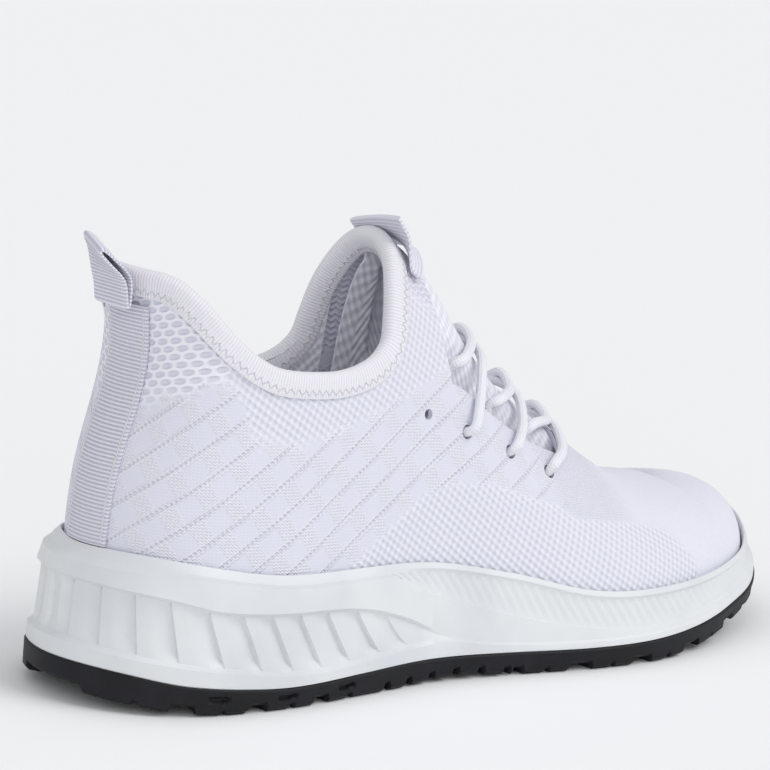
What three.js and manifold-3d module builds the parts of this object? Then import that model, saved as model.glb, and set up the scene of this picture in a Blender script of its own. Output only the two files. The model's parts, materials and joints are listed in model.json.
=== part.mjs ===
// A right running shoe: knitted bootie upper, lasting board, cup midsole, lugged outsole, and lacing.
// Millimetres, +Z up, toe along +X, inner (medial) side along +Y. The ground is Z = 0.
// Every upper layer is the same foot form taken at its own depth below the outside of the knit.

import * as THREE from 'three';
import { mergeVertices } from 'three/addons/utils/BufferGeometryUtils.js';
import Module from 'manifold-3d';

const wasm = await Module();
wasm.setup();

// ---------------------------------------------------------------- driving dimensions

const SOLE_LENGTH = 295; // heel to toe, along the lower edge of the midsole
const SOLE_HALF_WIDTH = 49; // widest half of the forefoot, outsole edge to centre line

const HEEL_COLLAR_HEIGHT = 128; // top of the knit at the heel
const ANKLE_COLLAR_HEIGHT = 98; // lowest point of the collar
const TONGUE_HEIGHT = 136.5; // top of the knit at the tongue
const INSTEP_HEIGHT = 79; // knit ridge at the lowest eyelets
const TOE_BOX_HEIGHT = 45; // knit ridge over the toes

const HEEL_RIM_HEIGHT = 46; // midsole rim at the heel
const FOREFOOT_RIM_HEIGHT = 24; // midsole rim at the ball of the foot
const TOE_RIM_HEIGHT = 35; // midsole rim at the toe tip
const HEEL_FLOOR_HEIGHT = 32; // lasting board, underside, at the heel
const FOREFOOT_FLOOR_HEIGHT = 17.5; // the same at the ball of the foot
const TOE_FLOOR_HEIGHT = 26; // the same at the toe tip

const GAP = 0.3; // running clearance between neighbouring layers
const KNIT = 2; // knit thickness
const LIP = 1.2; // width of the midsole rim beside the knit
const BOARD = 1.6; // lasting board thickness
const LASTING_MARGIN = 9; // knit turned in under the foot
const INSOLE_THICKNESS = 4;
const INSOLE_PLAY = 1.4; // between the insole's edge and the lining
const COUNTER = 1.2; // heel counter wall
const TOE_PUFF = 0.8;
const LINING = 1;
const LINING_DEPTH_LOW = 3.8; // lining outer face below the knit's outer face, beside the counter
const LINING_DEPTH_COLLAR = 8; // the same in the padded collar
const BACKING = 0.8; // eyelet backing tape
const BACKING_WIDTH = 14;
const BINDING = 0.9; // collar tape thickness
const BINDING_DEPTH = 7; // how far the tape reaches down from the collar edge

const STRIP_WIDTH = 18;
const STRIP_THICKNESS = 1.2;
const LOOP_WIDTH = 16;
const LOOP_HEIGHT = 18; // pull loop above its hinge
const LOOP_DEPTH = 8.6; // outside depth of the loop, front to back
const LOOP_THICKNESS = 1.2;
const LOOP_LEAN = 28; // degrees back from upright
const LOOP_SET_BACK = 2.6; // hinge line behind the strip's face
const TAB_WIDTH = 28;
const TAB_RISE = 8; // tongue tab above the collar edge
const TAB_THICKNESS = 1.2;
const UNDERLAY_PLAY = 1; // between the lace and the underlay behind it

const LACE = 3.4; // lace diameter
const LACE_SLIP = 12; // how far the crossings slide down the sloping instep, ahead of their eyelets
const LACE_PLAY = 1.2; // round the lace in an eyelet
const SPARE_EYELET = 3.4; // the top pair, left unlaced
const EYELET_STATIONS = [0.583, 0.522, 0.454, 0.397]; // along the sole, lowest pair first
const EYELET_HEIGHTS = [0.455, 0.415, 0.345, 0.33]; // share of the way up the section, one for each pair
const AGLET_LENGTH = 18;
const SLOT_START = 0.645; // toe end of the lacing slot, along the sole
const SLOT_END = 0.41; // ankle end
const SLOT_LOW = 0.6; // share of the way up the section of the slot's edge, at its toe end
const SLOT_HIGH = 0.415; // the same at its ankle end

const OUTSOLE_WALL = 6.4; // height of the rubber side wall
const OUTSOLE_BASE = 5; // top of the rubber above the tread
const LUG_DEPTH = 2.4;
const LUG_PITCH = 12;
const LUG_GAP = 3.2;
const TOE_SPRING = 17.5; // toe tip of the outsole above the ground
const HEEL_BEVEL = 4.4; // back edge of the outsole above the ground
const BEVEL_END = 0.13; // where the heel bevel runs out, along the sole
const SPRING_START = 0.69; // where the toe spring starts
const ARCH_STATION = 0.44;
const ARCH_LIFT = 1.4; // tread above the ground under the arch
const EDGE_ROUND = 1.1; // lower edge of the outsole above its tread

const PANEL_RECESS = 1.4; // heel panel below the surface of the midsole
const BAND_RECESS = 0.9; // forefoot band, the same

const HEEL_TUCK = 9.5; // how far the heel wall leans forward above the counter
const COLLAR_HALF_WIDTH = 27; // outer side of the collar, from the centre line
const HEEL_FAN = 0.155; // centre of the round heel, along the sole
const TOE_FAN = 0.85; // centre of the round toe

const HEEL_SPOKES = 10;
const SIDE_SPOKES = 15;
const TOE_SPOKES = 8;
const WALL_ROWS = 12;

// ---------------------------------------------------------------- curves along the sole

// Smooth function of the station (0 at the heel, 1 at the toe) through a few points.
function along(points) {
  const slope = (i) => {
    const a = points[Math.max(i - 1, 0)];
    const b = points[Math.min(i + 1, points.length - 1)];
    return (b[1] - a[1]) / (b[0] - a[0]);
  };
  return (x) => {
    const s = THREE.MathUtils.clamp(x / SOLE_LENGTH, points[0][0], points.at(-1)[0]);
    let i = 0;
    while (i < points.length - 2 && s > points[i + 1][0]) i += 1;
    const [x0, y0] = points[i];
    const [x1, y1] = points[i + 1];
    const h = x1 - x0;
    const t = (s - x0) / h;
    const h00 = (1 + 2 * t) * (1 - t) ** 2;
    const h10 = t * (1 - t) ** 2;
    const h01 = t * t * (3 - 2 * t);
    const h11 = t * t * (t - 1);
    return h00 * y0 + h10 * h * slope(i) + h01 * y1 + h11 * h * slope(i + 1);
  };
}

const rimHeight = along([
  [0, HEEL_RIM_HEIGHT], [0.06, HEEL_RIM_HEIGHT], [0.2, HEEL_RIM_HEIGHT - 6.5],
  [0.4, HEEL_RIM_HEIGHT - 8.5], [0.51, FOREFOOT_RIM_HEIGHT + 8], [0.61, FOREFOOT_RIM_HEIGHT + 1],
  [0.7, FOREFOOT_RIM_HEIGHT - 0.6], [0.85, FOREFOOT_RIM_HEIGHT + 0.8],
  [0.93, THREE.MathUtils.lerp(FOREFOOT_RIM_HEIGHT, TOE_RIM_HEIGHT, 0.35)], [1, TOE_RIM_HEIGHT],
]);
const floorHeight = along([
  [0, HEEL_FLOOR_HEIGHT], [0.15, HEEL_FLOOR_HEIGHT - 2], [0.4, HEEL_FLOOR_HEIGHT - 5],
  [0.55, FOREFOOT_FLOOR_HEIGHT + 3.5], [0.7, FOREFOOT_FLOOR_HEIGHT],
  [0.85, FOREFOOT_FLOOR_HEIGHT + 1.2], [1, TOE_FLOOR_HEIGHT],
]);
// The ridge of the form: over the ankle it is the instep line carried on, above the collar cut.
const ridgeHeight = along([
  [0.15, TONGUE_HEIGHT + 56], [0.27, TONGUE_HEIGHT + 33], [0.38, TONGUE_HEIGHT + 1],
  [0.44, TONGUE_HEIGHT - 10], [0.5, TONGUE_HEIGHT - 30.5], [0.56, INSTEP_HEIGHT + 10],
  [0.62, INSTEP_HEIGHT - 2], [0.7, TOE_BOX_HEIGHT + 16], [0.76, TOE_BOX_HEIGHT + 6.5],
  [0.85, TOE_BOX_HEIGHT + 1.5],
]);
// Bezier handles of a cross-section: how far the wall stands straight, and how broad the crown is.
const wallRise = along([[0.15, 0.72], [0.3, 0.66], [0.38, 0.62], [0.5, 0.55], [0.65, 0.5], [0.85, 0.72]]);
const crownWidth = along([
  [0.15, 0.66], [0.3, 0.7], [0.38, 0.78], [0.5, 0.5], [0.58, 0.36], [0.7, 0.42], [0.85, 0.62],
]);
const spineY = along([[0, 0], [0.4, 1], [0.55, 2.5], [0.7, 5.5], [0.85, 8]]);
// How far the midsole's lower edge stands out beyond its rim.
const flare = along([[0, 9.4], [0.07, 7.6], [0.2, 6.8], [0.4, 4.9], [0.6, 3.5], [0.85, 3.3], [1, 4.5]]);
// Lower edge of the midsole, where the rubber starts.
const rubberLine = along([
  [0, OUTSOLE_WALL + 8.2], [0.05, OUTSOLE_WALL + 5.8], [0.1, OUTSOLE_WALL + 2.6], [0.2, OUTSOLE_WALL],
  [0.4, OUTSOLE_WALL + 1.2], [0.6, OUTSOLE_WALL + 0.4], [0.7, OUTSOLE_WALL + 0.8],
  [0.78, OUTSOLE_WALL + 2.4], [0.86, OUTSOLE_WALL + 5.4], [0.93, OUTSOLE_WALL + 9.4],
  [1, OUTSOLE_WALL + 17],
]);
// Bottom of the tread: flat under the heel and the ball, bevelled behind, sprung at the toe.
function treadHeight(x) {
  const s = x / SOLE_LENGTH;
  const heel = Math.max(0, 1 - s / BEVEL_END);
  const toe = Math.max(0, (s - SPRING_START) / (1 - SPRING_START));
  const arch = Math.max(0, 1 - Math.abs(s - ARCH_STATION) / 0.09);
  return HEEL_BEVEL * heel ** 1.6 + TOE_SPRING * toe ** 1.9 + ARCH_LIFT * arch * arch * (3 - 2 * arch);
}
// Forward tuck of the heel wall above the counter, as a share of its greatest value.
function heelTuck(z) {
  const top = HEEL_COLLAR_HEIGHT;
  const base = HEEL_RIM_HEIGHT;
  const s = THREE.MathUtils.clamp((z - base) / (top - base), 0, 1.6);
  return HEEL_TUCK * Math.exp(-(((s - 0.68) / 0.34) ** 2));
}

// Foot outline at the rim, in sole lengths and half widths, from the heel round by the outer side.
const OUTLINE = new THREE.CatmullRomCurve3(
  [
    [0.034, 0], [0.043, -0.22], [0.066, -0.44], [0.105, -0.6], [0.2, -0.7], [0.305, -0.68],
    [0.407, -0.66], [0.505, -0.75], [0.607, -0.88], [0.692, -0.92], [0.776, -0.845],
    [0.855, -0.67], [0.92, -0.43], [0.965, -0.1], [0.982, 0.18], [0.976, 0.36], [0.953, 0.52],
    [0.908, 0.7], [0.831, 0.85], [0.746, 0.885], [0.678, 0.82], [0.576, 0.66], [0.475, 0.54],
    [0.39, 0.54], [0.305, 0.61], [0.2, 0.66], [0.105, 0.58], [0.062, 0.42], [0.041, 0.21],
  ].map(([x, y]) => new THREE.Vector3(x * SOLE_LENGTH, y * SOLE_HALF_WIDTH, 0)),
  true,
).getPoints(400);

// Distance from a point inside the outline to the outline, in a direction of the ground plane.
function reachTo(root, direction) {
  let best = 0;
  for (let i = 0; i < OUTLINE.length - 1; i += 1) {
    const ax = OUTLINE[i].x - root.x;
    const ay = OUTLINE[i].y - root.y;
    const ex = OUTLINE[i + 1].x - OUTLINE[i].x;
    const ey = OUTLINE[i + 1].y - OUTLINE[i].y;
    const det = direction.y * ex - direction.x * ey;
    if (Math.abs(det) < 1e-9) continue;
    const distance = (ay * ex - ax * ey) / det;
    const share = (direction.x * ay - direction.y * ax) / det;
    if (share >= -1e-6 && share <= 1 + 1e-6 && distance > best) best = distance;
  }
  return best;
}

// Spokes from the spine of the foot to its outline, once round from the heel by the outer side.
function makeSpokes(density) {
  const start = HEEL_FAN * SOLE_LENGTH;
  const end = TOE_FAN * SOLE_LENGTH;
  const spokes = [];
  const add = (x, angle) => {
    const root = new THREE.Vector3(x, spineY(x), 0);
    const direction = new THREE.Vector3(Math.cos(angle), Math.sin(angle), 0);
    spokes.push({ root, direction, reach: reachTo(root, direction), back: Math.max(0, -direction.x) });
  };
  const heel = HEEL_SPOKES * density;
  const side = SIDE_SPOKES * density;
  const toe = TOE_SPOKES * density;
  for (let i = heel / 2; i < heel; i += 1) add(start, Math.PI + (Math.PI * (i - heel / 2)) / heel);
  for (let i = 0; i < side; i += 1) add(THREE.MathUtils.lerp(start, end, i / side), -Math.PI / 2);
  for (let i = 0; i < toe; i += 1) add(end, -Math.PI / 2 + (Math.PI * i) / toe);
  for (let i = side; i > 0; i -= 1) add(THREE.MathUtils.lerp(start, end, i / side), Math.PI / 2);
  for (let i = 0; i < heel / 2; i += 1) add(start, Math.PI / 2 + (Math.PI * i) / heel);
  return spokes;
}

// ---------------------------------------------------------------- solids

function toManifold(geometry) {
  let plain = geometry.clone();
  plain.deleteAttribute('normal');
  plain.deleteAttribute('uv');
  plain = mergeVertices(plain, 1e-4);
  const index = plain.index.array;
  const kept = [];
  for (let i = 0; i < index.length; i += 3) {
    const [a, b, c] = index.subarray(i, i + 3);
    if (a !== b && b !== c && c !== a) kept.push(a, b, c);
  }
  return new wasm.Manifold(new wasm.Mesh({
    numProp: 3,
    vertProperties: new Float32Array(plain.attributes.position.array),
    triVerts: new Uint32Array(kept),
  }));
}

function toGeometry(solid) {
  const mesh = solid.getMesh();
  const geometry = new THREE.BufferGeometry();
  geometry.setAttribute('position', new THREE.BufferAttribute(new Float32Array(mesh.vertProperties), 3));
  geometry.setIndex(new THREE.BufferAttribute(new Uint32Array(mesh.triVerts), 1));
  geometry.computeVertexNormals();
  return geometry;
}

// Closed solid from columns of points, one column for each spoke, all of the same length.
// Each column runs from the middle of the top, out and down the wall, to the middle of the bottom.
function solidOfColumns(columns) {
  const rows = columns[0].length;
  const position = columns.flat().flatMap((p) => [p.x, p.y, p.z]);
  const index = [];
  for (let i = 0; i < columns.length; i += 1) {
    const a = i * rows;
    const b = ((i + 1) % columns.length) * rows;
    for (let j = 0; j < rows - 1; j += 1) {
      index.push(a + j, a + j + 1, b + j + 1);
      index.push(a + j, b + j + 1, b + j);
    }
  }
  const geometry = new THREE.BufferGeometry();
  geometry.setAttribute('position', new THREE.Float32BufferAttribute(position, 3));
  geometry.setIndex(index);
  return toManifold(geometry);
}

// Prism across the shoe from a side-view outline of [x, z] points.
function sidePrismGeometry(points, halfWidth) {
  const shape = new THREE.Shape(points.map(([x, z]) => new THREE.Vector2(x, z)));
  const geometry = new THREE.ExtrudeGeometry(shape, { depth: 2 * halfWidth, bevelEnabled: false });
  geometry.translate(0, 0, -halfWidth);
  geometry.rotateX(Math.PI / 2);
  return geometry;
}

function sidePrism(points, halfWidth = 90) {
  return toManifold(sidePrismGeometry(points, halfWidth));
}

// Upright prism from a plan-view outline of [x, y] points.
function planPrism(points, bottom, top) {
  const shape = new THREE.Shape(points.map(([x, y]) => new THREE.Vector2(x, y)));
  const geometry = new THREE.ExtrudeGeometry(shape, { depth: top - bottom, bevelEnabled: false });
  geometry.translate(0, 0, bottom);
  return toManifold(geometry);
}

// Box between two corners.
function block(x0, x1, y0, y1, z0, z1) {
  const geometry = new THREE.BoxGeometry(x1 - x0, y1 - y0, z1 - z0);
  geometry.translate((x0 + x1) / 2, (y0 + y1) / 2, (z0 + z1) / 2);
  return toManifold(geometry);
}

// ---------------------------------------------------------------- the foot form

// Point of a cross-section in a spoke's own plane: [distance from the spine, height].
function sectionPoint(spoke, t) {
  const edge = spoke.root.x + spoke.direction.x * spoke.reach;
  const low = floorHeight(edge);
  const high = ridgeHeight(spoke.root.x);
  const rise = wallRise(spoke.root.x) * (high - low);
  const q = 1 - t;
  const out = spoke.reach * (q ** 3 + 3 * q * q * t + 3 * q * t * t * crownWidth(spoke.root.x));
  const z = low + 3 * q * q * t * rise + (3 * q * t * t + t ** 3) * (high - low);
  return [out - heelTuck(z) * spoke.back ** 2 * Math.min(1, q * 4), z];
}

// Point of the form below its surface by the depth, measured square to the section.
function formPoint(spoke, t, depth) {
  const step = 1e-3;
  const [r0, z0] = sectionPoint(spoke, Math.max(t - step, 0));
  const [r1, z1] = sectionPoint(spoke, Math.min(t + step, 1));
  const [out, z] = sectionPoint(spoke, t);
  const length = Math.hypot(r1 - r0, z1 - z0);
  const flat = t === 1 ? [0, 1] : [(z1 - z0) / length, (r0 - r1) / length];
  const d = typeof depth === 'function' ? depth(spoke.root.x, z) : depth;
  const reach = t === 1 ? 0 : Math.max(out - d * flat[0], 0.02 * spoke.reach);
  const p = spoke.root.clone().addScaledVector(spoke.direction, reach);
  p.z = z - d * flat[1];
  return p;
}

const FORM_SPOKES = makeSpokes(1);

// The whole form at a depth, as a solid: crown, walls, and a floor lifted off the midsole's cup.
function form(depth, floorLift = 0) {
  const columns = FORM_SPOKES.map((spoke) => {
    const column = [];
    for (let j = WALL_ROWS; j >= 0; j -= 1) column.push(formPoint(spoke, j / WALL_ROWS, depth));
    const foot = column.at(-1);
    foot.z += floorLift;
    for (const share of [0.5, 0]) {
      const p = spoke.root.clone().lerp(foot, share);
      p.z = floorHeight(p.x) + floorLift;
      column.push(p);
    }
    return column;
  });
  return solidOfColumns(columns);
}

// ---------------------------------------------------------------- collar line

// Side view of the collar edge from behind the heel to above the tongue, on the outer side.
const COLLAR = new THREE.SplineCurve(
  [
    [-0.05, HEEL_COLLAR_HEIGHT], [0.06, HEEL_COLLAR_HEIGHT], [0.093, HEEL_COLLAR_HEIGHT - 4],
    [0.131, HEEL_COLLAR_HEIGHT - 16.5], [0.164, ANKLE_COLLAR_HEIGHT + 6],
    [0.2, ANKLE_COLLAR_HEIGHT + 1.8], [0.265, ANKLE_COLLAR_HEIGHT], [0.31, ANKLE_COLLAR_HEIGHT + 2.4],
    [0.336, ANKLE_COLLAR_HEIGHT + 8], [0.344, ANKLE_COLLAR_HEIGHT + 16], [0.349, TONGUE_HEIGHT - 12],
    [0.358, TONGUE_HEIGHT], [0.372, TONGUE_HEIGHT + 14],
  ].map(([x, z]) => new THREE.Vector2(x * SOLE_LENGTH, z)),
).getPoints(44);
const INNER_SIDE_FORWARD = 0.1; // how far the collar's front edge moves on, per millimetre inward
const INNER_SIDE_DROP = 0.14; // how far the ankle edge falls, per millimetre inward

// Everything above the collar edge, with the edge raised by an offset (negative lowers it).
function aboveCollar(offset) {
  const edge = COLLAR.map((p, i) => {
    const a = COLLAR[Math.max(i - 1, 0)];
    const b = COLLAR[Math.min(i + 1, COLLAR.length - 1)];
    const way = new THREE.Vector2().subVectors(b, a).normalize();
    return [p.x - way.y * offset, p.y + way.x * offset];
  });
  const prism = sidePrismGeometry([...edge, [edge.at(-1)[0], 260], [-60, 260]], 90);
  const position = prism.attributes.position;
  for (let i = 0; i < position.count; i += 1) {
    const x = position.getX(i);
    const inward = position.getY(i);
    const share = THREE.MathUtils.smoothstep(x, 0.12 * SOLE_LENGTH, 0.28 * SOLE_LENGTH);
    position.setX(i, x + INNER_SIDE_FORWARD * (inward + COLLAR_HALF_WIDTH) * share);
    position.setZ(i, position.getZ(i) - INNER_SIDE_DROP * (inward + COLLAR_HALF_WIDTH) * share);
  }
  return toManifold(prism);
}

// ---------------------------------------------------------------- layers of the upper

const heelZone = 0.3 * SOLE_LENGTH; // front end of the counter
const liningFront = 0.39 * SOLE_LENGTH; // where the lining meets the throat underlay
const counterTop = HEEL_RIM_HEIGHT + 24;
const toeZone = 0.87 * SOLE_LENGTH;

// Ring of wall between two depths, standing clear of the lasting margin and open underneath.
function wallRing(outer, inner) {
  return form(outer, KNIT + GAP).subtract(form(inner, -6));
}

// Slab over the foot's outline moved in by a margin, between two lifts above the cup floor.
function floorSlab(margin, low, high) {
  const columns = FORM_SPOKES.map((spoke) => {
    const at = (share, lift) => {
      const p = spoke.root.clone().addScaledVector(spoke.direction, share * (spoke.reach - margin));
      p.z = floorHeight(p.x) + lift;
      return p;
    };
    return [at(0, high), at(0.5, high), at(1, high), at(1, low), at(0.5, low), at(0, low)];
  });
  return solidOfColumns(columns);
}

// Point of the form over a station and a share of the way up the section, sunk by a depth.
function onForm(x, side, t, depth) {
  const root = new THREE.Vector3(x, spineY(x), 0);
  const direction = new THREE.Vector3(0, side, 0);
  return formPoint({ root, direction, reach: reachTo(root, direction), back: 0 }, t, depth);
}

// Share of the way up the section at which the lacing slot's edge lies.
function slotHeight(x) {
  const s = THREE.MathUtils.clamp((SLOT_START - x / SOLE_LENGTH) / (SLOT_START - SLOT_END), 0, 1);
  return THREE.MathUtils.lerp(SLOT_LOW, SLOT_HIGH, s);
}

// Lacing slot in plan, with a margin all round: its sides follow the section, its toe end is round.
function slotOutline(margin) {
  const steps = 8;
  const stations = Array.from({ length: steps + 1 }, (_, i) => (
    THREE.MathUtils.lerp(SLOT_START, SLOT_END, (i / steps) ** 1.3) * SOLE_LENGTH
  ));
  const half = (side) => stations.map((x, i) => {
    const roundEnd = Math.sqrt(Math.min(1, i / 2));
    const reach = Math.abs(onForm(x, side, slotHeight(x), 0).y - spineY(x));
    return [x + (i === 0 ? margin : 0), spineY(x) + side * (roundEnd * reach + margin)];
  });
  return [...half(-1), ...half(1).toReversed()];
}

function eyelets() {
  const holes = [];
  EYELET_STATIONS.forEach((station, i) => {
    const diameter = i < EYELET_STATIONS.length - 1 ? LACE + 2 * LACE_PLAY : SPARE_EYELET;
    for (const side of [-1, 1]) {
      const outside = onForm(station * SOLE_LENGTH, side, EYELET_HEIGHTS[i], -4);
      const inside = onForm(station * SOLE_LENGTH, side, EYELET_HEIGHTS[i], 5);
      const hole = new THREE.CylinderGeometry(diameter / 2, diameter / 2, outside.distanceTo(inside), 10);
      hole.rotateX(Math.PI / 2);
      hole.lookAt(outside.clone().sub(inside));
      hole.translate(...outside.clone().lerp(inside, 0.5).toArray());
      holes.push(toManifold(hole));
    }
  });
  return wasm.Manifold.union(holes);
}

const slotFloor = INSTEP_HEIGHT - 40; // the slot's cut reaches down to here, inside the crown only

function knitUpper() {
  return form(0)
    .subtract(form(KNIT, KNIT))
    .subtract(floorSlab(LASTING_MARGIN, -1, KNIT + 1))
    .subtract(aboveCollar(0))
    .subtract(planPrism(slotOutline(0), slotFloor, 220))
    .subtract(eyelets());
}

function lastingBoard() {
  return floorSlab(LASTING_MARGIN + GAP, KNIT - BOARD, KNIT);
}

function insole() {
  const margin = LINING_DEPTH_LOW + LINING + INSOLE_PLAY;
  return floorSlab(margin, KNIT + GAP, KNIT + GAP + INSOLE_THICKNESS);
}

const counterOuter = KNIT + GAP;
const counterInner = counterOuter + COUNTER;

function heelCounter() {
  const side = [
    [-20, 0], [heelZone, 0], [heelZone - 12, HEEL_RIM_HEIGHT], [heelZone - 45, counterTop],
    [-20, counterTop],
  ];
  return wallRing(counterOuter, counterInner).intersect(sidePrism(side));
}

// Lining depth: close to the counter low down, behind the padding at the collar.
function liningOuter(x, z) {
  const s = THREE.MathUtils.smoothstep(z, counterTop - 4, counterTop + 16);
  return THREE.MathUtils.lerp(LINING_DEPTH_LOW, LINING_DEPTH_COLLAR, s);
}

function collarPadding() {
  const front = liningFront - 8;
  const side = [[-20, counterTop + GAP], [front, counterTop + GAP], [front, 190], [-20, 190]];
  return wallRing(KNIT + GAP, (x, z) => liningOuter(x, z) - GAP)
    .intersect(sidePrism(side))
    .subtract(aboveCollar(-1));
}

function collarLining() {
  const side = [[-20, 0], [liningFront, 0], [liningFront, 200], [-20, 200]];
  return wallRing(liningOuter, (x, z) => liningOuter(x, z) + LINING)
    .intersect(sidePrism(side))
    .subtract(aboveCollar(0));
}

// The underlay leaves room for the lace behind the slot and meets the knit at its toe end.
function underlayOuter(x) {
  const station = x / SOLE_LENGTH;
  const s = THREE.MathUtils.smoothstep(station, SLOT_START - 0.04, SLOT_START + 0.05);
  return THREE.MathUtils.lerp(laceUnder + LACE / 2 + UNDERLAY_PLAY, KNIT + GAP, s);
}

function throatUnderlay() {
  const start = liningFront + GAP;
  const end = (SLOT_START + 0.07) * SOLE_LENGTH;
  const low = INSTEP_HEIGHT - 41;
  const side = [[start, low + 36], [end - 40, low], [end, low], [end, INSTEP_HEIGHT + 11], [start, 200]];
  return wallRing((x, z) => underlayOuter(x), (x, z) => underlayOuter(x) + LINING)
    .intersect(sidePrism(side))
    .subtract(aboveCollar(0));
}

function toePuff() {
  return wallRing(KNIT + GAP, KNIT + GAP + TOE_PUFF)
    .intersect(block(toeZone, SOLE_LENGTH + 20, -90, 90, 0, 90));
}

function eyeletBacking(side) {
  const start = (EYELET_STATIONS[0] + 0.03) * SOLE_LENGTH;
  const end = (EYELET_STATIONS.at(-1) - 0.025) * SOLE_LENGTH;
  const reach = side > 0 ? [GAP, 90] : [-90, -GAP];
  return wallRing(KNIT + GAP, KNIT + GAP + BACKING)
    .intersect(planPrism(slotOutline(BACKING_WIDTH), slotFloor, 220))
    .subtract(planPrism(slotOutline(0), slotFloor - 1, 221))
    .intersect(block(end, start, ...reach, 0, 220))
    .subtract(aboveCollar(-BINDING_DEPTH - 1))
    .subtract(eyelets());
}

function collarBinding() {
  const innermost = LINING_DEPTH_COLLAR + LINING + GAP;
  const shell = form(-GAP - BINDING).subtract(form(innermost + BINDING, -6));
  const channel = form(-GAP).subtract(form(innermost, -6)).subtract(aboveCollar(GAP));
  return shell
    .subtract(aboveCollar(GAP + BINDING))
    .intersect(aboveCollar(-BINDING_DEPTH))
    .subtract(channel);
}

// ---------------------------------------------------------------- lace

// A curve whose steps are spread evenly over its points, so that tight bends get as many as long runs.
class CordCurve extends THREE.CatmullRomCurve3 {
  getPointAt(u, target) {
    return this.getPoint(u, target);
  }

  getTangentAt(u, target) {
    return this.getTangent(u, target);
  }
}

const laceOver = -LACE / 2 - GAP; // depth of the lace's centre where it lies on the knit
const laceUnder = KNIT + 2 * GAP + BACKING + LACE / 2 + 0.2; // the same behind the backing
const tailHeight = 0.23; // share of the way up the section of the tucked ends

// Half of the lace, from the bar behind the lowest eyelets to its tucked end, on alternate sides.
function halfLace(start) {
  const lerp = THREE.MathUtils.lerp;
  const points = [];
  const add = (x, side, t, depth) => points.push(onForm(x, side, t, depth));
  const eyelet = (i) => EYELET_STATIONS[i] * SOLE_LENGTH;
  let side = start;
  for (const t of [0.86, 0.72, EYELET_HEIGHTS[0] + 0.06]) add(eyelet(0), side, t, laceUnder);
  for (let i = 0; i < 3; i += 1) {
    const from = eyelet(i);
    const dive = from - 9;
    const cross = from + LACE_SLIP;
    const t = EYELET_HEIGHTS[i];
    const edge = slotHeight(dive);
    add(from, side, t, laceUnder - 1.6);
    add(from, side, t, 0.8);
    add(lerp(from, cross, 0.08), side, t + 0.03, laceOver - 0.9);
    add(lerp(from, cross, 0.4), side, 0.66, laceOver);
    add(lerp(from, cross, 0.75), side, 0.84, laceOver);
    add(cross, side, 1, start * (i % 2 ? -1 : 1) < 0 ? laceOver : laceOver - LACE - GAP);
    side = -side;
    add(lerp(cross, dive, 0.3), side, 0.84, laceOver);
    add(lerp(cross, dive, 0.8), side, edge + 0.11, laceOver + 0.6);
    add(dive, side, edge + 0.045, 3);
    add(dive, side, edge - 0.03, laceUnder + 0.2);
    if (i < 2) add(lerp(dive, eyelet(i + 1), 0.75), side, EYELET_HEIGHTS[i + 1] + 0.035, laceUnder + 0.2);
  }
  const turn = eyelet(2) - 12;
  add(turn - 1, side, 0.31, laceUnder + 0.2);
  add(turn + 2, side, 0.25, laceUnder);
  for (const run of [12, 26, 42, 58, 70]) add(turn + run, side, tailHeight, laceUnder);
  return points;
}

const barMiddle = onForm(EYELET_STATIONS[0] * SOLE_LENGTH, 1, 1, laceUnder);
const laceRoute = new CordCurve([...halfLace(-1).toReversed(), barMiddle, ...halfLace(1)]);

// Round cord along the lace's route between two shares of it.
function cordBetween(start, end, steps, radius) {
  const count = Math.round(2 * steps);
  const points = Array.from({ length: count + 1 }, (_, i) => (
    laceRoute.getPoint(THREE.MathUtils.lerp(start, end, i / count))
  ));
  const section = new THREE.Shape();
  section.absarc(0, 0, radius, 0, 2 * Math.PI);
  const extrudePath = new CordCurve(points);
  return toManifold(new THREE.ExtrudeGeometry(section, { steps, extrudePath, curveSegments: 4 }));
}

// Share of the route that one end piece takes, measured back from the end.
function endShare(length) {
  const point = new THREE.Vector3();
  const end = laceRoute.getPoint(1);
  let share = 0;
  while (laceRoute.getPoint(1 - share, point).distanceTo(end) < length) share += 0.0001;
  return share;
}

function lace() {
  const share = endShare(AGLET_LENGTH + 2 * GAP);
  return cordBetween(share, 1 - share, 108, LACE / 2);
}

function laceTip(last) {
  const share = endShare(AGLET_LENGTH);
  return last ? cordBetween(1 - share, 1, 3, LACE / 2) : cordBetween(0, share, 3, LACE / 2);
}

// ---------------------------------------------------------------- webbing

const loopHinge = HEEL_COLLAR_HEIGHT - BINDING_DEPTH - 3;

function heelStrip() {
  const bottom = rimHeight(0) + GAP;
  return form(-GAP - STRIP_THICKNESS)
    .subtract(form(-GAP))
    .intersect(block(-10, 40, -STRIP_WIDTH / 2, STRIP_WIDTH / 2, bottom, loopHinge - GAP));
}

// Where the centre of the heel's outside lies at a height.
function heelBackX(z) {
  const root = new THREE.Vector3(HEEL_FAN * SOLE_LENGTH, 0, 0);
  const direction = new THREE.Vector3(-1, 0, 0);
  const spoke = { root, direction, reach: reachTo(root, direction), back: 1 };
  let low = 0;
  let high = 1;
  for (let i = 0; i < 30; i += 1) {
    const middle = (low + high) / 2;
    if (sectionPoint(spoke, middle)[1] < z) low = middle;
    else high = middle;
  }
  return root.x - sectionPoint(spoke, low)[0];
}

const loopX = heelBackX(loopHinge) - GAP - STRIP_THICKNESS - LOOP_SET_BACK;

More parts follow.
